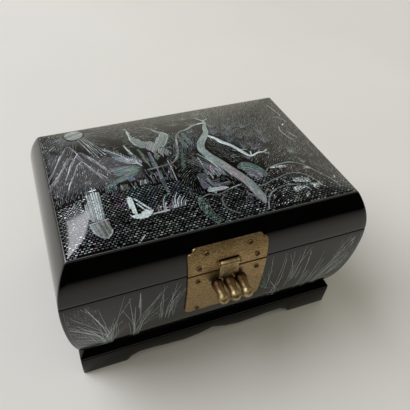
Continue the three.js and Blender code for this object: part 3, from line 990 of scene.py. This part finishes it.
def inlay_mountains(art):
    for ridge in MOUNTAINS:
        art.band(ridge, 0.5, "pearl white rose white", piece=4, play=0.5)
        for u, v in curve(ridge, 1.3)[1:-1]:
            drop = art.chance(3, 9)
            lean = 0.45 if u < -70 else -0.3
            route = [(u, v - 1), (u - lean * drop, v - 1 - drop)]
            art.stroke(route, (0.36, 0.2), "pearl smoke lilac grey pink smoke", 0.6)
    for region, angle, names in (
        ([(-88, -16), (-50, -16), (-54, 4), (-64, 16), (-74, 32), (-90, 6)], 66,
         "grey smoke pearl smoke rose smoke grey"),
        ([(-90, -19), (-84, -19), (-82, 0), (-90, 4)], 80, "grey smoke"),
        ([(-90, 12), (-80, 31), (-75, 40), (-72, 57), (-90, 57)], 62, "grey smoke lilac pearl"),
        ([(-62, 20), (-53, 4), (-50, -6), (-44, 4), (-40, 26), (-58, 44)], 0, "rose smoke grey pink smoke"),
    ):
        art.field(region, 2.4, 1.2, angle, 1.9, 0.34, names, keep=0.8, jitter=0.4, play=0.8, wave=0.8)


def inlay_junk(art):
    for i in range(6):
        share = i / 5
        top = (-70.6 + 7.2 * share, -13.6 + 0.8 * math.sin(math.pi * share))
        foot = (-70.2 + 5.4 * share, -36.6)
        middle = ((top[0] + foot[0]) / 2 + 0.2, -25)
        art.stroke([top, middle, foot], (1.0, 1.05, 0.75), "white pearl white", 0.2)
    for i in range(3):
        art.stroke([(-72.8 + i * 0.9, -21 + i * 0.6), (-72.9 + i * 1.1, -29), (-71 + i * 0.4, -36.5)],
                   (0.6, 0.85, 0.6), "pearl white", 0.2)
    art.stroke([(-66.4, -8.5), (-66.3, -14)], 0.75, "glint")
    art.stroke([(-68.6, -11.2), (-64.2, -11.2)], 0.85, "glint")
    hull = [
        (-73.2, -38), (-72.4, -42.5), (-70.5, -46.5), (-68, -49), (-65.2, -49.5), (-62.8, -47.5),
        (-61.9, -45), (-62.3, -38.5), (-64, -37.2), (-71, -37.6),
    ]
    art.slats(hull, -78, 0.75, "grey pearl tan grey pearl", gap=0.12, play=0.3)
    art.band(hull[:7], 0.8, "pearl white pearl", piece=4, lift=0.05)
    for i in range(6):
        u = -69.8 + i * 0.95
        art.stroke([(u, -37.5), (u + 0.2, -43.6)], 0.4, "tan smoke pearl tan", lift=0.04)
    art.stroke([(-73.4, -37.6), (-62.2, -37)], 0.7, "white", lift=0.05)


def inlay_sailboat(art):
    hull = [
        (-50, -38.6), (-48.5, -41), (-45, -42.6), (-41, -42.7), (-38, -41.3), (-36, -38.3),
        (-38.5, -38), (-40, -36.8), (-42.5, -37.6), (-44, -39.4), (-47, -38.8),
    ]
    sail = [
        (-49, -26.6), (-45.8, -26.8), (-45.6, -33), (-45.8, -38.5), (-46.6, -39.2), (-47.6, -38.2),
        (-48.6, -33),
    ]
    pennant = [(-49.2, -25.6), (-47.2, -24), (-45.6, -25.8), (-47.2, -27)]
    art.slats(hull, 0, 0.7, "glint", gap=0, play=0.05)
    art.slats(sail, 90, 0.8, "glint", gap=0, play=0.1)
    for route, width in (([(-44.6, -26.8), (-37.4, -37.9)], 1.1), ([(-44.2, -30.8), (-40.6, -37.6)], 0.8)):
        art.stroke(route, width, "glint", 0.05)
    art.slats(pennant, 0, 0.8, "glint", gap=0, play=0.05)
    art.stroke([(-37, -41.2), (-27, -41)], 0.9, "glint white pink")
    # Place, height and lean of the reeds by the boat
    blades = (
        (-33.5, 5, 1, "tan pink"), (-32, 4, 1, "pink tan"), (-30, 11, 4, "teal white"),
        (-29, 6, 2, "white"), (-26.8, 4, 2, "pink"), (-25.5, 3.4, 1.6, "pink glint"),
        (-23.8, 5, 1, "white"), (-22.8, 11, 4, "glint"), (-21.6, 8, 3.6, "glint"),
        (-20.6, 7, 3, "blue lilac"), (-19.6, 7, 4, "glint"), (-18.4, 5, 3, "lilac glint"),
        (-17.2, 4, 2, "glint"), (-24.6, 8, 2.4, "white lilac"),
    )
    for u, tall, lean, names in blades:
        art.stroke([(u, -40.5), (u + lean * 0.3, -40.5 + tall * 0.6), (u + lean, -40.5 + tall)],
                   (0.75, 0.65, 0.3), names, 0.15)


def inlay_crane(art):
    left_wing = [
        (-33, 46.5), (-31, 47), (-29.8, 42), (-30, 36), (-28.5, 32), (-26, 29.5), (-24, 25.5),
        (-22.3, 24.5), (-23, 20), (-25, 17.5), (-28, 20), (-30.5, 24), (-31.8, 29), (-31.5, 37), (-31.5, 42),
    ]
    right_wing = [
        (-14.5, 39.5), (-12, 35), (-9, 32.5), (-6.5, 29.5), (-6, 26.5), (-8, 22), (-10.5, 17.5),
        (-13.5, 14.5), (-16.5, 16), (-18, 21), (-15, 25), (-12, 28.5), (-11, 31.5), (-13.5, 35.5),
    ]
    body = [
        (-24.5, 16), (-22, 24), (-19.5, 24.5), (-17, 20), (-15, 15.5), (-17.5, 12.8), (-20.5, 12.3),
        (-23, 14),
    ]
    tail = [
        (-18.5, 13.5), (-13, 14.5), (-10.3, 9.5), (-10.2, 5), (-12, 7.3), (-13.3, 4), (-14.8, 7.3),
        (-16.3, 4.5), (-17.6, 8),
    ]
    for outline, angle, names, gap, play in (
        (left_wing, 102, "sage pearl sage", 0.22, 0.25), (right_wing, 62, "grey sage pearl sage", 0.24, 0.3),
        (body, 60, "rose pearl rose", 0.2, 0.2), (tail, 80, "pearl rose pearl", 0.3, 0.3),
    ):
        art.slats(outline, angle, 1.1, names, gap, play)
    art.band(right_wing[:8], 0.8, "white pearl", 4, lift=0.03)
    art.band(left_wing[9:], 0.8, "white pearl green", 4, lift=0.03)
    art.stroke([(-21.5, 13), (-18.3, 5.3)], (1.2, 0.6), "white")
    art.stroke([(-14.5, 39.5), (-17.5, 43), (-21, 45)], (0.9, 0.7, 0.3), "pearl grey")


def inlay_leaves(art):
    for foot, tip, width, names in (
        ((-33, 2), (-51.5, 26), 5.2, "blue pearl teal white"),
        ((-32, 0), (-38, 26), 3, "green teal white"), ((-36, 5), (-48, 15), 4, "blue pearl white blue"),
        ((-33, -1), (-54, 2.5), 4.6, "green teal pearl teal"), ((-34, -3), (-50, -3), 4, "green teal tan"),
        ((-35, -4), (-55, -11), 4.2, "teal green pearl teal"),
        ((-24, -6), (-24, 12), 3, "blue lilac teal grey"),
        ((-24, -6), (-23.5, -30), 3, "teal blue tan pearl"),
        ((-30, 4), (-44, 11), 3.5, "blue lilac grey white"), ((6, 10), (4.5, 27), 3, "blue teal grey"),
        ((1, 8), (1, 24), 2.6, "blue grey"), ((-8, -12), (-3, 5), 2.6, "green teal smoke"),
        ((-27, 0), (-30, 18), 3, "smoke grey tan"), ((-21, 2), (-19, 14), 2.6, "smoke tan green"),
    ):
        art.spray(foot, tip, width, names, count=14)
    for outline, angle, names in (
        ([(-54, 3), (-49, 4.6), (-42, 3.4), (-36, 0), (-42, -1.6), (-50, -0.5)], 4, "teal grey pearl"),
        ([(-53, -8.5), (-48, -5.8), (-44, -6.5), (-43, -9), (-49, -10)], 10, "teal pearl grey"),
        ([(-44.5, -7), (-40.5, -7.2), (-39, -11), (-43, -12)], 80, "lilac grey blue"),
    ):
        art.slats(outline, angle, 0.7, names, gap=0.16, play=0.5)
    for route, width, names in (
        ([(-37.5, 24), (-36.5, 19), (-34.6, 13)], 0.8, "white teal"),
        ([(-34.5, 5), (-32, 0)], 0.8, "white"),
        ([(-28.5, 13), (-28.5, 5), (-27, -2.5)], 0.7, "green pearl"),
        ([(-42.5, 9), (-40, 5.5), (-37, 4.5)], 1, "pearl"),
        ([(-15, 0), (-15, -9), (-15.5, -20)], 0.6, "white blue"),
        ([(-24, 12), (-23.5, 0), (-24, -16)], 1, "blue lilac"),
        ([(-50.5, 24.5), (-45, 18), (-38, 9)], (0.5, 0.9, 0.4), "white"),
    ):
        art.stroke(route, width, names, lift=0.03)
    stems = [(-60, -19), (-12, -20), (-12, 1), (-36, -5), (-44, -12), (-58, -9)]
    art.field(stems, 3, 0.75, 91, 2.8, 0.3, "grey blue lilac smoke tan white grey", 0.7, 0.6, 0.8)
    edge = [(-56, -4), (-50, -6), (-54, -17), (-60, -17), (-58, -6)]
    for left, v in ((-50, -17.5), (-37.5, -17)):
        for i in range(6):
            u = left + i * 0.85
            art.stroke([(u, v), (u + 0.6, v + 4)], 0.45, "orange white tan grey")
    art.field(edge, 1.6, 0.9, 40, 1, 0.4, "green teal grey", 0.8)


def inlay_trunk(art):
    trunk = [
        (24.8, 39), (24.3, 34), (22, 28), (20.5, 22), (17, 17), (12.4, 11), (10.4, 5), (11, 0), (13.2, -6),
        (16.2, -12), (19, -18), (21.8, -24), (25, -30), (27, -35), (28.5, -42), (29.8, -48), (29.3, -51.5),
    ]
    widths = (1.4, 2, 3.2, 4, 5, 5.2, 5.2, 5.6, 6, 6.2, 6.3, 6.5, 6.3, 6, 6, 5.4, 2)

    def shade(u, v):
        return "sage pearl sage" if v > -10 else "rose pearl rose" if v > -30 else "pearl rose pearl"
    art.band(trunk, widths, shade, piece=5, strands=7, lift=0.05, play=0.25)
    branch = [
        (20, 18), (23.5, 13.5), (26.5, 8), (30, 4), (33, -1), (35.5, -6), (38, -10.5), (41, -11),
        (45, -9.2), (50, -9), (52.5, -7.5),
    ]
    widths = (1.5, 2.4, 3.2, 2.8, 2.4, 2.6, 2.4, 1.6, 1.2, 1.1, 0.8)
    art.band(branch, widths, "glint white glint", 7, 3, 0.045, 0.15)
    for twig in (
        [(35.5, -3), (39.5, -4.2)], [(39.8, -10.5), (41, -6.5)], [(45.5, -9.5), (47.5, -7)],
        [(49, -9), (51, -10.8), (53, -10.5)], [(50, -8.8), (53, -7)],
    ):
        art.stroke(twig, 0.9, "white pearl", lift=0.04)
    art.band([(24.5, 35.2), (20, 34.8), (15, 33.8), (11, 31.3), (7, 29.6), (4, 29.4)], (1.6, 1.8, 1.4),
             "pearl white grey", lift=0.04)
    art.stroke([(24.8, 37), (23.4, 40), (21, 43.5)], (1.5, 0.8), "pearl", lift=0.04)
    art.stroke([(25, 37.5), (27, 39.4), (29, 40)], (1.2, 0.7), "pearl", lift=0.04)
    art.band([(4, 29.5), (0, 25), (-2, 20), (-4, 12), (-6, 5), (-9, 0), (-13, -3.5), (-20, -4.5), (-30, -5)],
             (1.2, 1.4, 1.1), "grey tan pearl grey", lift=0.04)
    art.stroke([(22, -41), (26.5, -46), (29, -51)], (0.6, 1.2, 0.6), "grey", lift=0.06)


def inlay_needles(art):
    for feet, first, last, reach, names in (
        (((24, 17), (31, 6), (38, -3), (26, 26), (33, 14), (40, 8)), 28, 100, 13, "smoke grey blue"),
        (((36, 20), (46, 9), (55, 0), (47, 20), (44, -6), (56, 10)), 25, 95, 12, "smoke grey blue lilac"),
        (((22, 43), (14, 34), (2, 38), (12, 44), (24, 48)), 10, 165, 9, "grey smoke"),
    ):
        for foot in feet:
            art.fan(foot, first, last, reach, 13, 0.34, names, bend=18)
    for centre in ((30, 14), (39, 3), (29, 27), (44, 17), (53, 7), (58, 22), (43, 33)):
        region = [polar(centre, 10, k) for k in range(7)]
        art.arcs(region, (centre[0] - 4, centre[1] - 5), 1.4, 3.2, 2.7, 0.32, "smoke grey smoke blue", 0.75)
    hollow = [(13, 14), (21, 17), (37, -9), (39, -14), (26, -16), (17, -6)]
    art.arcs(hollow, (43, 14), 1.5, 3.6, 3.1, 0.36, "pearl grey tan grey")


def inlay_bushes(art):
    first = [
        (-2.5, -19), (-0.5, -18), (2, -19), (3.5, -22), (3.5, -26), (6, -28), (10, -29.5), (15.5, -29.5),
        (15, -32), (11.5, -33), (6, -33), (2, -31), (-2, -32), (-2.8, -29), (-2.5, -24),
    ]
    pale = [
        (-1, -34), (1, -31), (5, -32), (11.5, -33), (13, -34.5), (9, -35.8), (5, -35.6), (3.6, -37),
        (2, -35.4),
    ]
    second = [
        (25, -20), (28, -17), (31, -15.8), (34, -17.5), (37, -20), (40.5, -25), (42, -31), (39, -32),
        (36, -27), (31, -21), (26.5, -21.5),
    ]
    heart = [(27.5, -22), (31, -21), (35, -25), (38, -31.5), (34, -33.5), (31, -31.5), (29.3, -28.5)]
    for outline, angle, names, gap, play in (
        (first, -65, "smoke grey lilac grey", 0.2, 0.5), (pale, 0, "white pearl", 0.06, 0.25),
        (second, -40, "smoke grey teal", 0.2, 0.4), (heart, 40, "grey smoke lilac", 0.2, 0.4),
    ):
        art.slats(outline, angle, 0.8, names, gap, play)
    for line, centre, count, inward, width, names in (
        (
            [(25.5, -19.5), (28, -17), (31, -16), (35, -18), (38.5, -22), (41, -27), (41.5, -31)],
            (31.5, -27), 6, 0.15, 0.7, "teal sage grey",
        ),
        ([(27.5, -21), (32, -22), (36, -26), (39, -32)], (31, -31), 5, 0.17, 0.5, "pearl grey white lilac"),
        (
            [(-2.3, -24), (-1.5, -19.5), (2, -19.2), (4, -23), (5, -28), (10, -29.8), (15, -30)],
            (3, -32), 5, 0.14, 0.55, "grey lilac pearl",
        ),
    ):
        art.nest(line, centre, count, inward, width, names)
    for i in range(14):
        u = 4 + i * 0.9
        v = art.chance(-25, -19)
        route = [(u, v), (u - 0.6, v + art.chance(4, 9))]
        art.stroke(route, (0.7, 0.3), "white pearl grey teal", 0.5)
    art.fan((15, -21), 106, 150, 27, 11, 0.5, "white pearl pink grey", bend=-12)
    art.stroke([(5, -12), (4.7, -3)], 0.8, "white")
    for route in ([(9.6, -12), (7.6, -18), (7, -24)], [(10, -12), (12, -18), (14.5, -22)]):
        art.stroke(route, (0.4, 0.8, 0.5), "pink white")
    art.fan((36, -14), 20, 120, 7, 12, 0.5, "grey lilac smoke", bend=14)


def inlay_rocks(art):
    arches = (
        [
            (42, -28), (44.5, -25.3), (50, -23.8), (56, -23.2), (60, -22.9), (64, -24), (68, -26.3),
            (71, -29), (73.5, -33.5), (76, -38), (79, -42), (81.5, -48), (82, -52),
        ],
        [
            (31, -38.5), (36, -38.2), (42, -36), (47, -35), (52, -33.6), (57, -33.2), (61, -34),
            (65, -36.5), (68, -40), (70, -44), (70.8, -48),
        ],
        [(37.5, -45), (42, -43), (46, -42.3), (50, -42), (54, -43), (58, -45.5), (61, -47.5), (62, -50)],
    )
    others = (
        [(-9, -39), (-5, -37.3), (-1, -36.3), (3, -37.7), (7, -37.8), (12, -36), (17, -34.8), (22, -34)],
        [(9, -39), (6, -41), (5, -44), (5.2, -47.5), (7, -50.5), (10, -53), (12, -54)],
        [(32, -47), (33.5, -43.5), (36, -42.5), (37.5, -45)],
        [(37, -45), (34, -48), (31.5, -52), (29.8, -56)],
    )
    for line in arches + others:
        art.band(line, 0.9, "grey pearl tan grey", piece=5)
    heaps = (
        (
            [
                (42, -29.5), (50, -25.2), (60, -24.3), (68, -28), (73, -35), (78.5, -46), (72, -50),
                (69.5, -41), (61, -33), (50, -32.8), (41, -35.5),
            ],
            (58, -54), "smoke tan rose orange smoke grey",
        ),
        (
            [
                (36, -39.5), (47, -36.2), (57, -34.5), (64, -37.2), (68.5, -43), (69.5, -51), (62.5, -51),
                (60, -46), (54, -42), (46, -41.2), (38, -43.5),
            ],
            (53, -58), "smoke white orange tan pearl smoke pearl",
        ),
        (
            [(38, -46), (46, -43.6), (54, -44.4), (60, -48), (61.5, -56), (33, -56)],
            (48, -64), "tan grey white smoke",
        ),
    )
    for region, centre, names in heaps:
        art.arcs(region, centre, 1.3, 1.8, 1.2, 0.55, names, 0.92, 0.7)
        art.clear += (region,)
    glints = (
        ((46, -26), (57, -27.2)), ((55, -40), (66, -42)), ((55.5, -41.6), (66, -43.4)),
        ((52, -49), (60, -46.4)), ((51.5, -47.6), (58, -45.2)), ((64, -46), (70, -48)),
        ((65, -48), (69, -49)), ((68, -31), (72, -32)), ((57, -53.5), (60, -52)),
    )
    for (u1, v1), (u2, v2) in glints:
        count = max(round((u2 - u1) / 1.05), 2)
        for k in range(count * 2):
            u = u1 + (u2 - u1) * (k % count) / count
            v = v1 + (v2 - v1) * (k % count) / count + (k // count) * 1.2 + art.chance(-0.2, 0.2)
            art.stroke([(u, v), (u + 0.8, v + 0.8)], 0.75, "glint white glint white", 0.6)
    art.stroke([(83, -43.5), (84.2, -41.5)], 0.9, "white")
    green = [
        (-8.5, -38.5), (-5, -39), (-3.5, -42), (-3.5, -47), (-2, -52), (0, -55), (-3, -57), (-5.5, -54.5),
        (-8, -49), (-9.5, -44),
    ]
    art.field(green, 1.5, 0.8, 20, 1.1, 0.6, "green teal green pearl", keep=0.95, play=0.6)
    art.band(green + green[:1], 0.4, "grey sage", piece=4)
    violet = [
        (18.5, -44), (21.5, -41.5), (24.5, -42), (24.8, -46), (25.5, -50), (26, -54), (23.5, -54.5),
        (20.5, -51), (18, -47.5),
    ]
    art.field(violet, 1.6, 0.9, 15, 1.1, 0.6, "lilac smoke grey lilac", keep=0.9, play=0.6)
    art.clear += (green, violet)
    for foot, names in (((69, -14), "teal green"), ((71, -26), "teal green tan")):
        art.fan(foot, 40, 130, 5, 8, 0.5, names)
    art.field([(66, -15), (73, -15), (74, -8), (68, -6)], 2, 1.1, 40, 1.2, 0.5, "teal green grey")


def inlay_distance(art):
    for region, angle, names in (
        ([(22, 20), (48, 4), (60, -4), (66, -16), (84, -22), (84, 57), (26, 57)], 54,
         "smoke grey grey smoke tan grey"),
        ([(36, -13), (38, 2), (48, 4), (60, -4), (68, -4), (74, -30), (60, -22), (43, -25), (38, -20)], 45,
         "smoke tan grey smoke pearl"),
        ([(74, -22), (90, -24), (90, -45), (82, -45), (75, -34)], 100, "tan smoke grey grey"),
        ([(84, -22), (90, -22), (90, 57), (84, 57)], 92, "tan grey smoke tan"),
        ([(-56, 46), (-35, 28), (-32, 45), (20, 45), (30, 57), (-56, 57)], -4, "smoke grey grey smoke"),
        ([(-37, 22), (-30, 18), (-8, 12), (-5, 30), (-10, 46), (-38, 46)], 12, "grey pearl grey tan"),
        ([(-17, -4), (-14, 8), (-8, 30), (14, 32), (20, 22), (8, 8), (-8, -2)], 86, "grey blue pearl teal"),
    ):
        art.field(region, 2.7, 1.25, angle, 2.3, 0.33, names, keep=0.85, jitter=0.4, play=0.6, wave=1.4)
    for line in (
        [(82, 47), (83.5, 42), (84, 37), (85.3, 33), (84, 30)],
        [(78, 30), (82, 28.5), (84.5, 25.5), (84.5, 22)],
        [(76, 17), (74.3, 12), (75.5, 5), (78, 0)], [(79, 10), (81.5, 4), (82.5, 2)],
    ):
        art.stroke(line, 0.8, "grey tan pearl", lift=0.03)
    art.stroke([(80.2, 18.5), (81, 20)], 0.9, "glint")


def inlay_edge_line(art):
    from_edge = 0.8
    u, v = HALF_WIDTH - from_edge, HALF_DEPTH - from_edge
    corners = [(-u, -v), (u, -v), (u, v), (-u, v), (-u, -v)]
    for first, last in zip(corners, corners[1:]):
        art.stroke(steps_between(first, last, 40), 0.35, "grey", 0, smooth=False)


def lid_inlay():
    art = Inlay("lid_inlay", "lid", 7)
    for draw in (
        inlay_sun, inlay_crane, inlay_trunk, inlay_bushes, inlay_junk, inlay_sailboat, inlay_leaves,
        inlay_rocks, inlay_mountains, inlay_needles, inlay_distance, inlay_water, inlay_edge_line,
    ):
        draw(art)
    art.finish()


# Reeds and grasses rise from the foot of each side of the case

def reed(art, foot, tip, names, width=0.23):
    middle = (foot[0] + (tip[0] - foot[0]) * 0.24, foot[1] + (tip[1] - foot[1]) * 0.52)
    art.stroke([foot, middle, tip], (0.12, width, width, 0.12), names, 0.35)


def tuft(art, foot, tips, names, extra=4):
    for tip in tips:
        reed(art, (foot[0] + art.chance(-1.5, 1.5), foot[1]), tip, names)
        for _ in range(extra):
            reach = art.chance(0.5, 0.98)
            side = tip[0] + art.chance(-5, 5)
            top = foot[1] + (tip[1] - foot[1]) * reach
            start = (foot[0] + art.chance(-4, 4), foot[1] + art.chance(0, 5))
            reed(art, start, (side, top), names, 0.17)


def front_reeds(art):
    art.surface = on_front
    art.limit = HALF_WIDTH - 3
    low = MOULDING_TOP + 2
    for foot, tips, extra, names in (
        ((-75.5, low), ((-99, 54), (-97, 66), (-95, 78), (-86, 84), (-79, 80), (-70, 66)), 4, "white glint"),
        ((-72, 34), ((-71, 60), (-63, 85)), 1, "white pearl"),
        ((-59, 28), ((-60.5, 82), (-57, 72)), 2, "glint white"),
        ((-57, 29), ((-46, 66), (-41, 80), (-37, 84)), 2, "white glint"),
        ((-41, 46), ((-39, 84), (-42, 70)), 1, "white"),
        ((-35, 45), ((-31, 84), (-25, 78)), 4, "pearl white"),
        ((34, 46), ((31, 72), (32.5, 84), (29, 60)), 3, "green white"),
        ((41, 30), ((46, 60), (42, 84)), 1, "white glint"),
        ((49, 40), ((48, 84), (52, 72)), 1, "white"),
        ((56, 48), ((56, 86), (58, 70)), 3, "white teal"),
        ((62, 30), ((65, 58), (61, 80)), 1, "white glint"),
        ((68, 28), ((77, 60), (72, 76)), 2, "white"),
        ((47, 27), ((33, 42), (36, 56), (40, 38), (30, 34)), 2, "glint green"),
        ((78, 30), ((88, 66), (92, 80)), 4, "white glint"),
    ):
        tuft(art, foot, tips, names, extra)
    art.stroke([(-55, 52), (-54.3, 61), (-54, 72)], (0.3, 0.8, 1.6), "teal lilac")
    art.stroke([(-54.6, 70), (-54, 76), (-53.6, 84)], (1.6, 1.2, 0.4), "pearl pink")
    for foot, first, last, reach in (
        ((-76, low), 108, 172, 44), ((-74, low), 70, 100, 30),
        ((74, low + 3), 38, 70, 56), ((84, 40), 50, 85, 42),
    ):
        art.fan(foot, first, last, reach, 17, 0.2, "white pearl tan", bend=20)
    right = [(80, 36), (95, 44), (96, 85), (82, 85)]
    left = [(-98, 60), (-86, 40), (-78, 60), (-80, 85), (-98, 85)]
    art.field(right, 4, 1.2, 68, 3.6, 0.26, "pearl grey white", 0.75, 0.6)
    art.field(left, 3, 1.3, 125, 2.4, 0.24, "grey pearl", 0.75)


def side_reeds(art, surface, half):
    art.surface = surface
    art.limit = half - 3
    low = MOULDING_TOP + 2
    for u in (-0.78, -0.45, -0.1, 0.2, 0.52, 0.82):
        foot = (u * half + art.chance(-3, 3), low)
        tips = [(foot[0] + art.chance(-15, 15), low + art.chance(25, 55)) for _ in range(5)]
        tips = [(max(min(t, art.limit), -art.limit), min(v, SEAM - 3)) for t, v in tips]
        names = art.random.choice(("pearl grey white", "green teal pearl", "grey pearl white"))
        tuft(art, foot, tips, names)
        art.fan(foot, 50, 130, 36, 9, 0.24, "white pearl grey", bend=18)


def border_lines(art, surface, half):
    art.surface = surface
    art.limit = None
    low, high = MOULDING_TOP + 1.5, SEAM - 2.5
    from_edge = 2.6
    heights = [low + (high - low) * k / 24 for k in range(25)]
    for side in (-1, 1):
        route = [(side * (half + case_offset(z) - from_edge), z) for z in heights]
        art.stroke(route, 0.3, "smoke", 0, smooth=False)


def case_inlay():
    art = Inlay("case_inlay", "case", 11)
    front_reeds(art)
    side_reeds(art, on_right, HALF_DEPTH)
    side_reeds(art, on_left, HALF_DEPTH)
    side_reeds(art, on_back, HALF_WIDTH)
    for surface, half in (
        (on_front, HALF_WIDTH), (on_back, HALF_WIDTH), (on_left, HALF_DEPTH), (on_right, HALF_DEPTH),
    ):
        border_lines(art, surface, half)
    art.finish()


# Stage and light

# Metres
TABLE_SIZE = 6
TABLE_DROP = 0.0002
CARD_PLACE = (0, -0.62, 0.35)
LAMP_COLOR = (0.96, 0.97, 1.07)


def add_floor():
    bpy.ops.mesh.primitive_plane_add(size=TABLE_SIZE, location=(0, 0, -TABLE_DROP))
    floor = bpy.context.object
    floor.name = "table"
    work = material_nodes("pale_table")
    tint = work.ramp(work.noise(3, 3), (0.3, (0.745, 0.726, 0.676)), (0.7, (0.785, 0.766, 0.716)))
    # Painted shadow: the table's colour darkens nearer the camera than the picture shows
    painted_shadow = work.ramp(work.share_of_y(-0.24, -0.62), (0, 1.0), (0.5, 0.5), (1, 0.02))
    floor.data.materials.append(work.finish(Base_Color=work.times(tint, painted_shadow), Roughness=0.7))


# A dark card behind the camera that only the gloss sees, like the photographer's coat
def add_flag():
    bpy.ops.mesh.primitive_plane_add(size=1, location=CARD_PLACE, rotation=(math.radians(90), 0, 0))
    flag = bpy.context.object
    flag.name = "dark_card"
    flag.scale = (2.4, 0.7, 1)
    flag.visible_camera = False
    flag.visible_diffuse = False
    flag.visible_shadow = False
    work = material_nodes("dark_cloth")
    shade = work.ramp(work.noise(3, 3), (0.3, 0.002), (0.7, 0.004))
    flag.data.materials.append(work.finish(Base_Color=shade, Specular_IOR_Level=0, Roughness=1))


def add_lamp(name, azimuth, elevation, distance, size, radiance, roll=0):
    data = bpy.data.lights.new(name, "AREA")
    data.shape = "RECTANGLE"
    data.size, data.size_y = size
    data.energy = radiance * math.pi * size[0] * size[1]
    data.color = LAMP_COLOR
    lamp = bpy.data.objects.new(name, data)
    a, e = math.radians(azimuth), math.radians(elevation)
    toward = Vector((math.sin(a) * math.cos(e), math.cos(a) * math.cos(e), math.sin(e)))
    lamp.location = toward * distance + Vector((0, 0, 0.1))
    turn = Quaternion((0, 0, 1), math.radians(roll))
    lamp.rotation_euler = ((-toward).to_track_quat("-Z", "Y") @ turn).to_euler()
    bpy.context.collection.objects.link(lamp)


# A pale wall behind and beside the box, dark overhead and towards the camera
def add_world():
    world = bpy.data.worlds.new("room")
    work = Nodes(world, "Background")
    x, y, z = work.axes("Generated")
    level = work.math("MAXIMUM", y, work.math("MULTIPLY", work.math("ABSOLUTE", x), 1.6))
    rise = work.math("DIVIDE", z, work.math("ADD", z, level))
    behind = work.ramp(
        rise, (0, 0.62), (0.2, 0.56), (0.3, 0.54), (0.375, 0.34), (0.44, 0.13), (0.5, 0.045), (0.6, 0.015),
    )
    before = work.ramp(z, (0.1, 0.005), (0.3, 0.12), (0.5, 0.3), (0.9, 0.28))
    side = work.ramp(work.math("MULTIPLY_ADD", y, 0.5, 0.5), (0.4, 0.0), (0.6, 1.0))
    color = work.times(work.mixed("MIX", side, before, behind), (1, 0.99, 0.85, 1))
    work.finish(Color=color, Strength=1.6)
    bpy.context.scene.world = world


def add_light():
    add_world()
    add_lamp("window", -60, 50, 6, (4.1, 4.1), 5)
    add_lamp("skylight", -16, 49, 1.6, (0.19, 0.24), 7.5, -20)
    add_lamp("far_window", -3, 39.5, 2.0, (0.72, 0.22), 1.0, -10)


bpy.context.scene.view_settings.view_transform = "Standard"
add_camera()
dress_nodes()
lid_shell()
case_shell()
hasp_and_catches()
for soft in ("floor_pad", "lining_front", "lining_back", "lining_left", "lining_right"):
    velvet_pad(soft, "case")
velvet_pad("lid_lining", "lid")
plinth_upper()
plinth_lower()
lid_inlay()
case_inlay()
add_floor()
add_flag()
add_light()
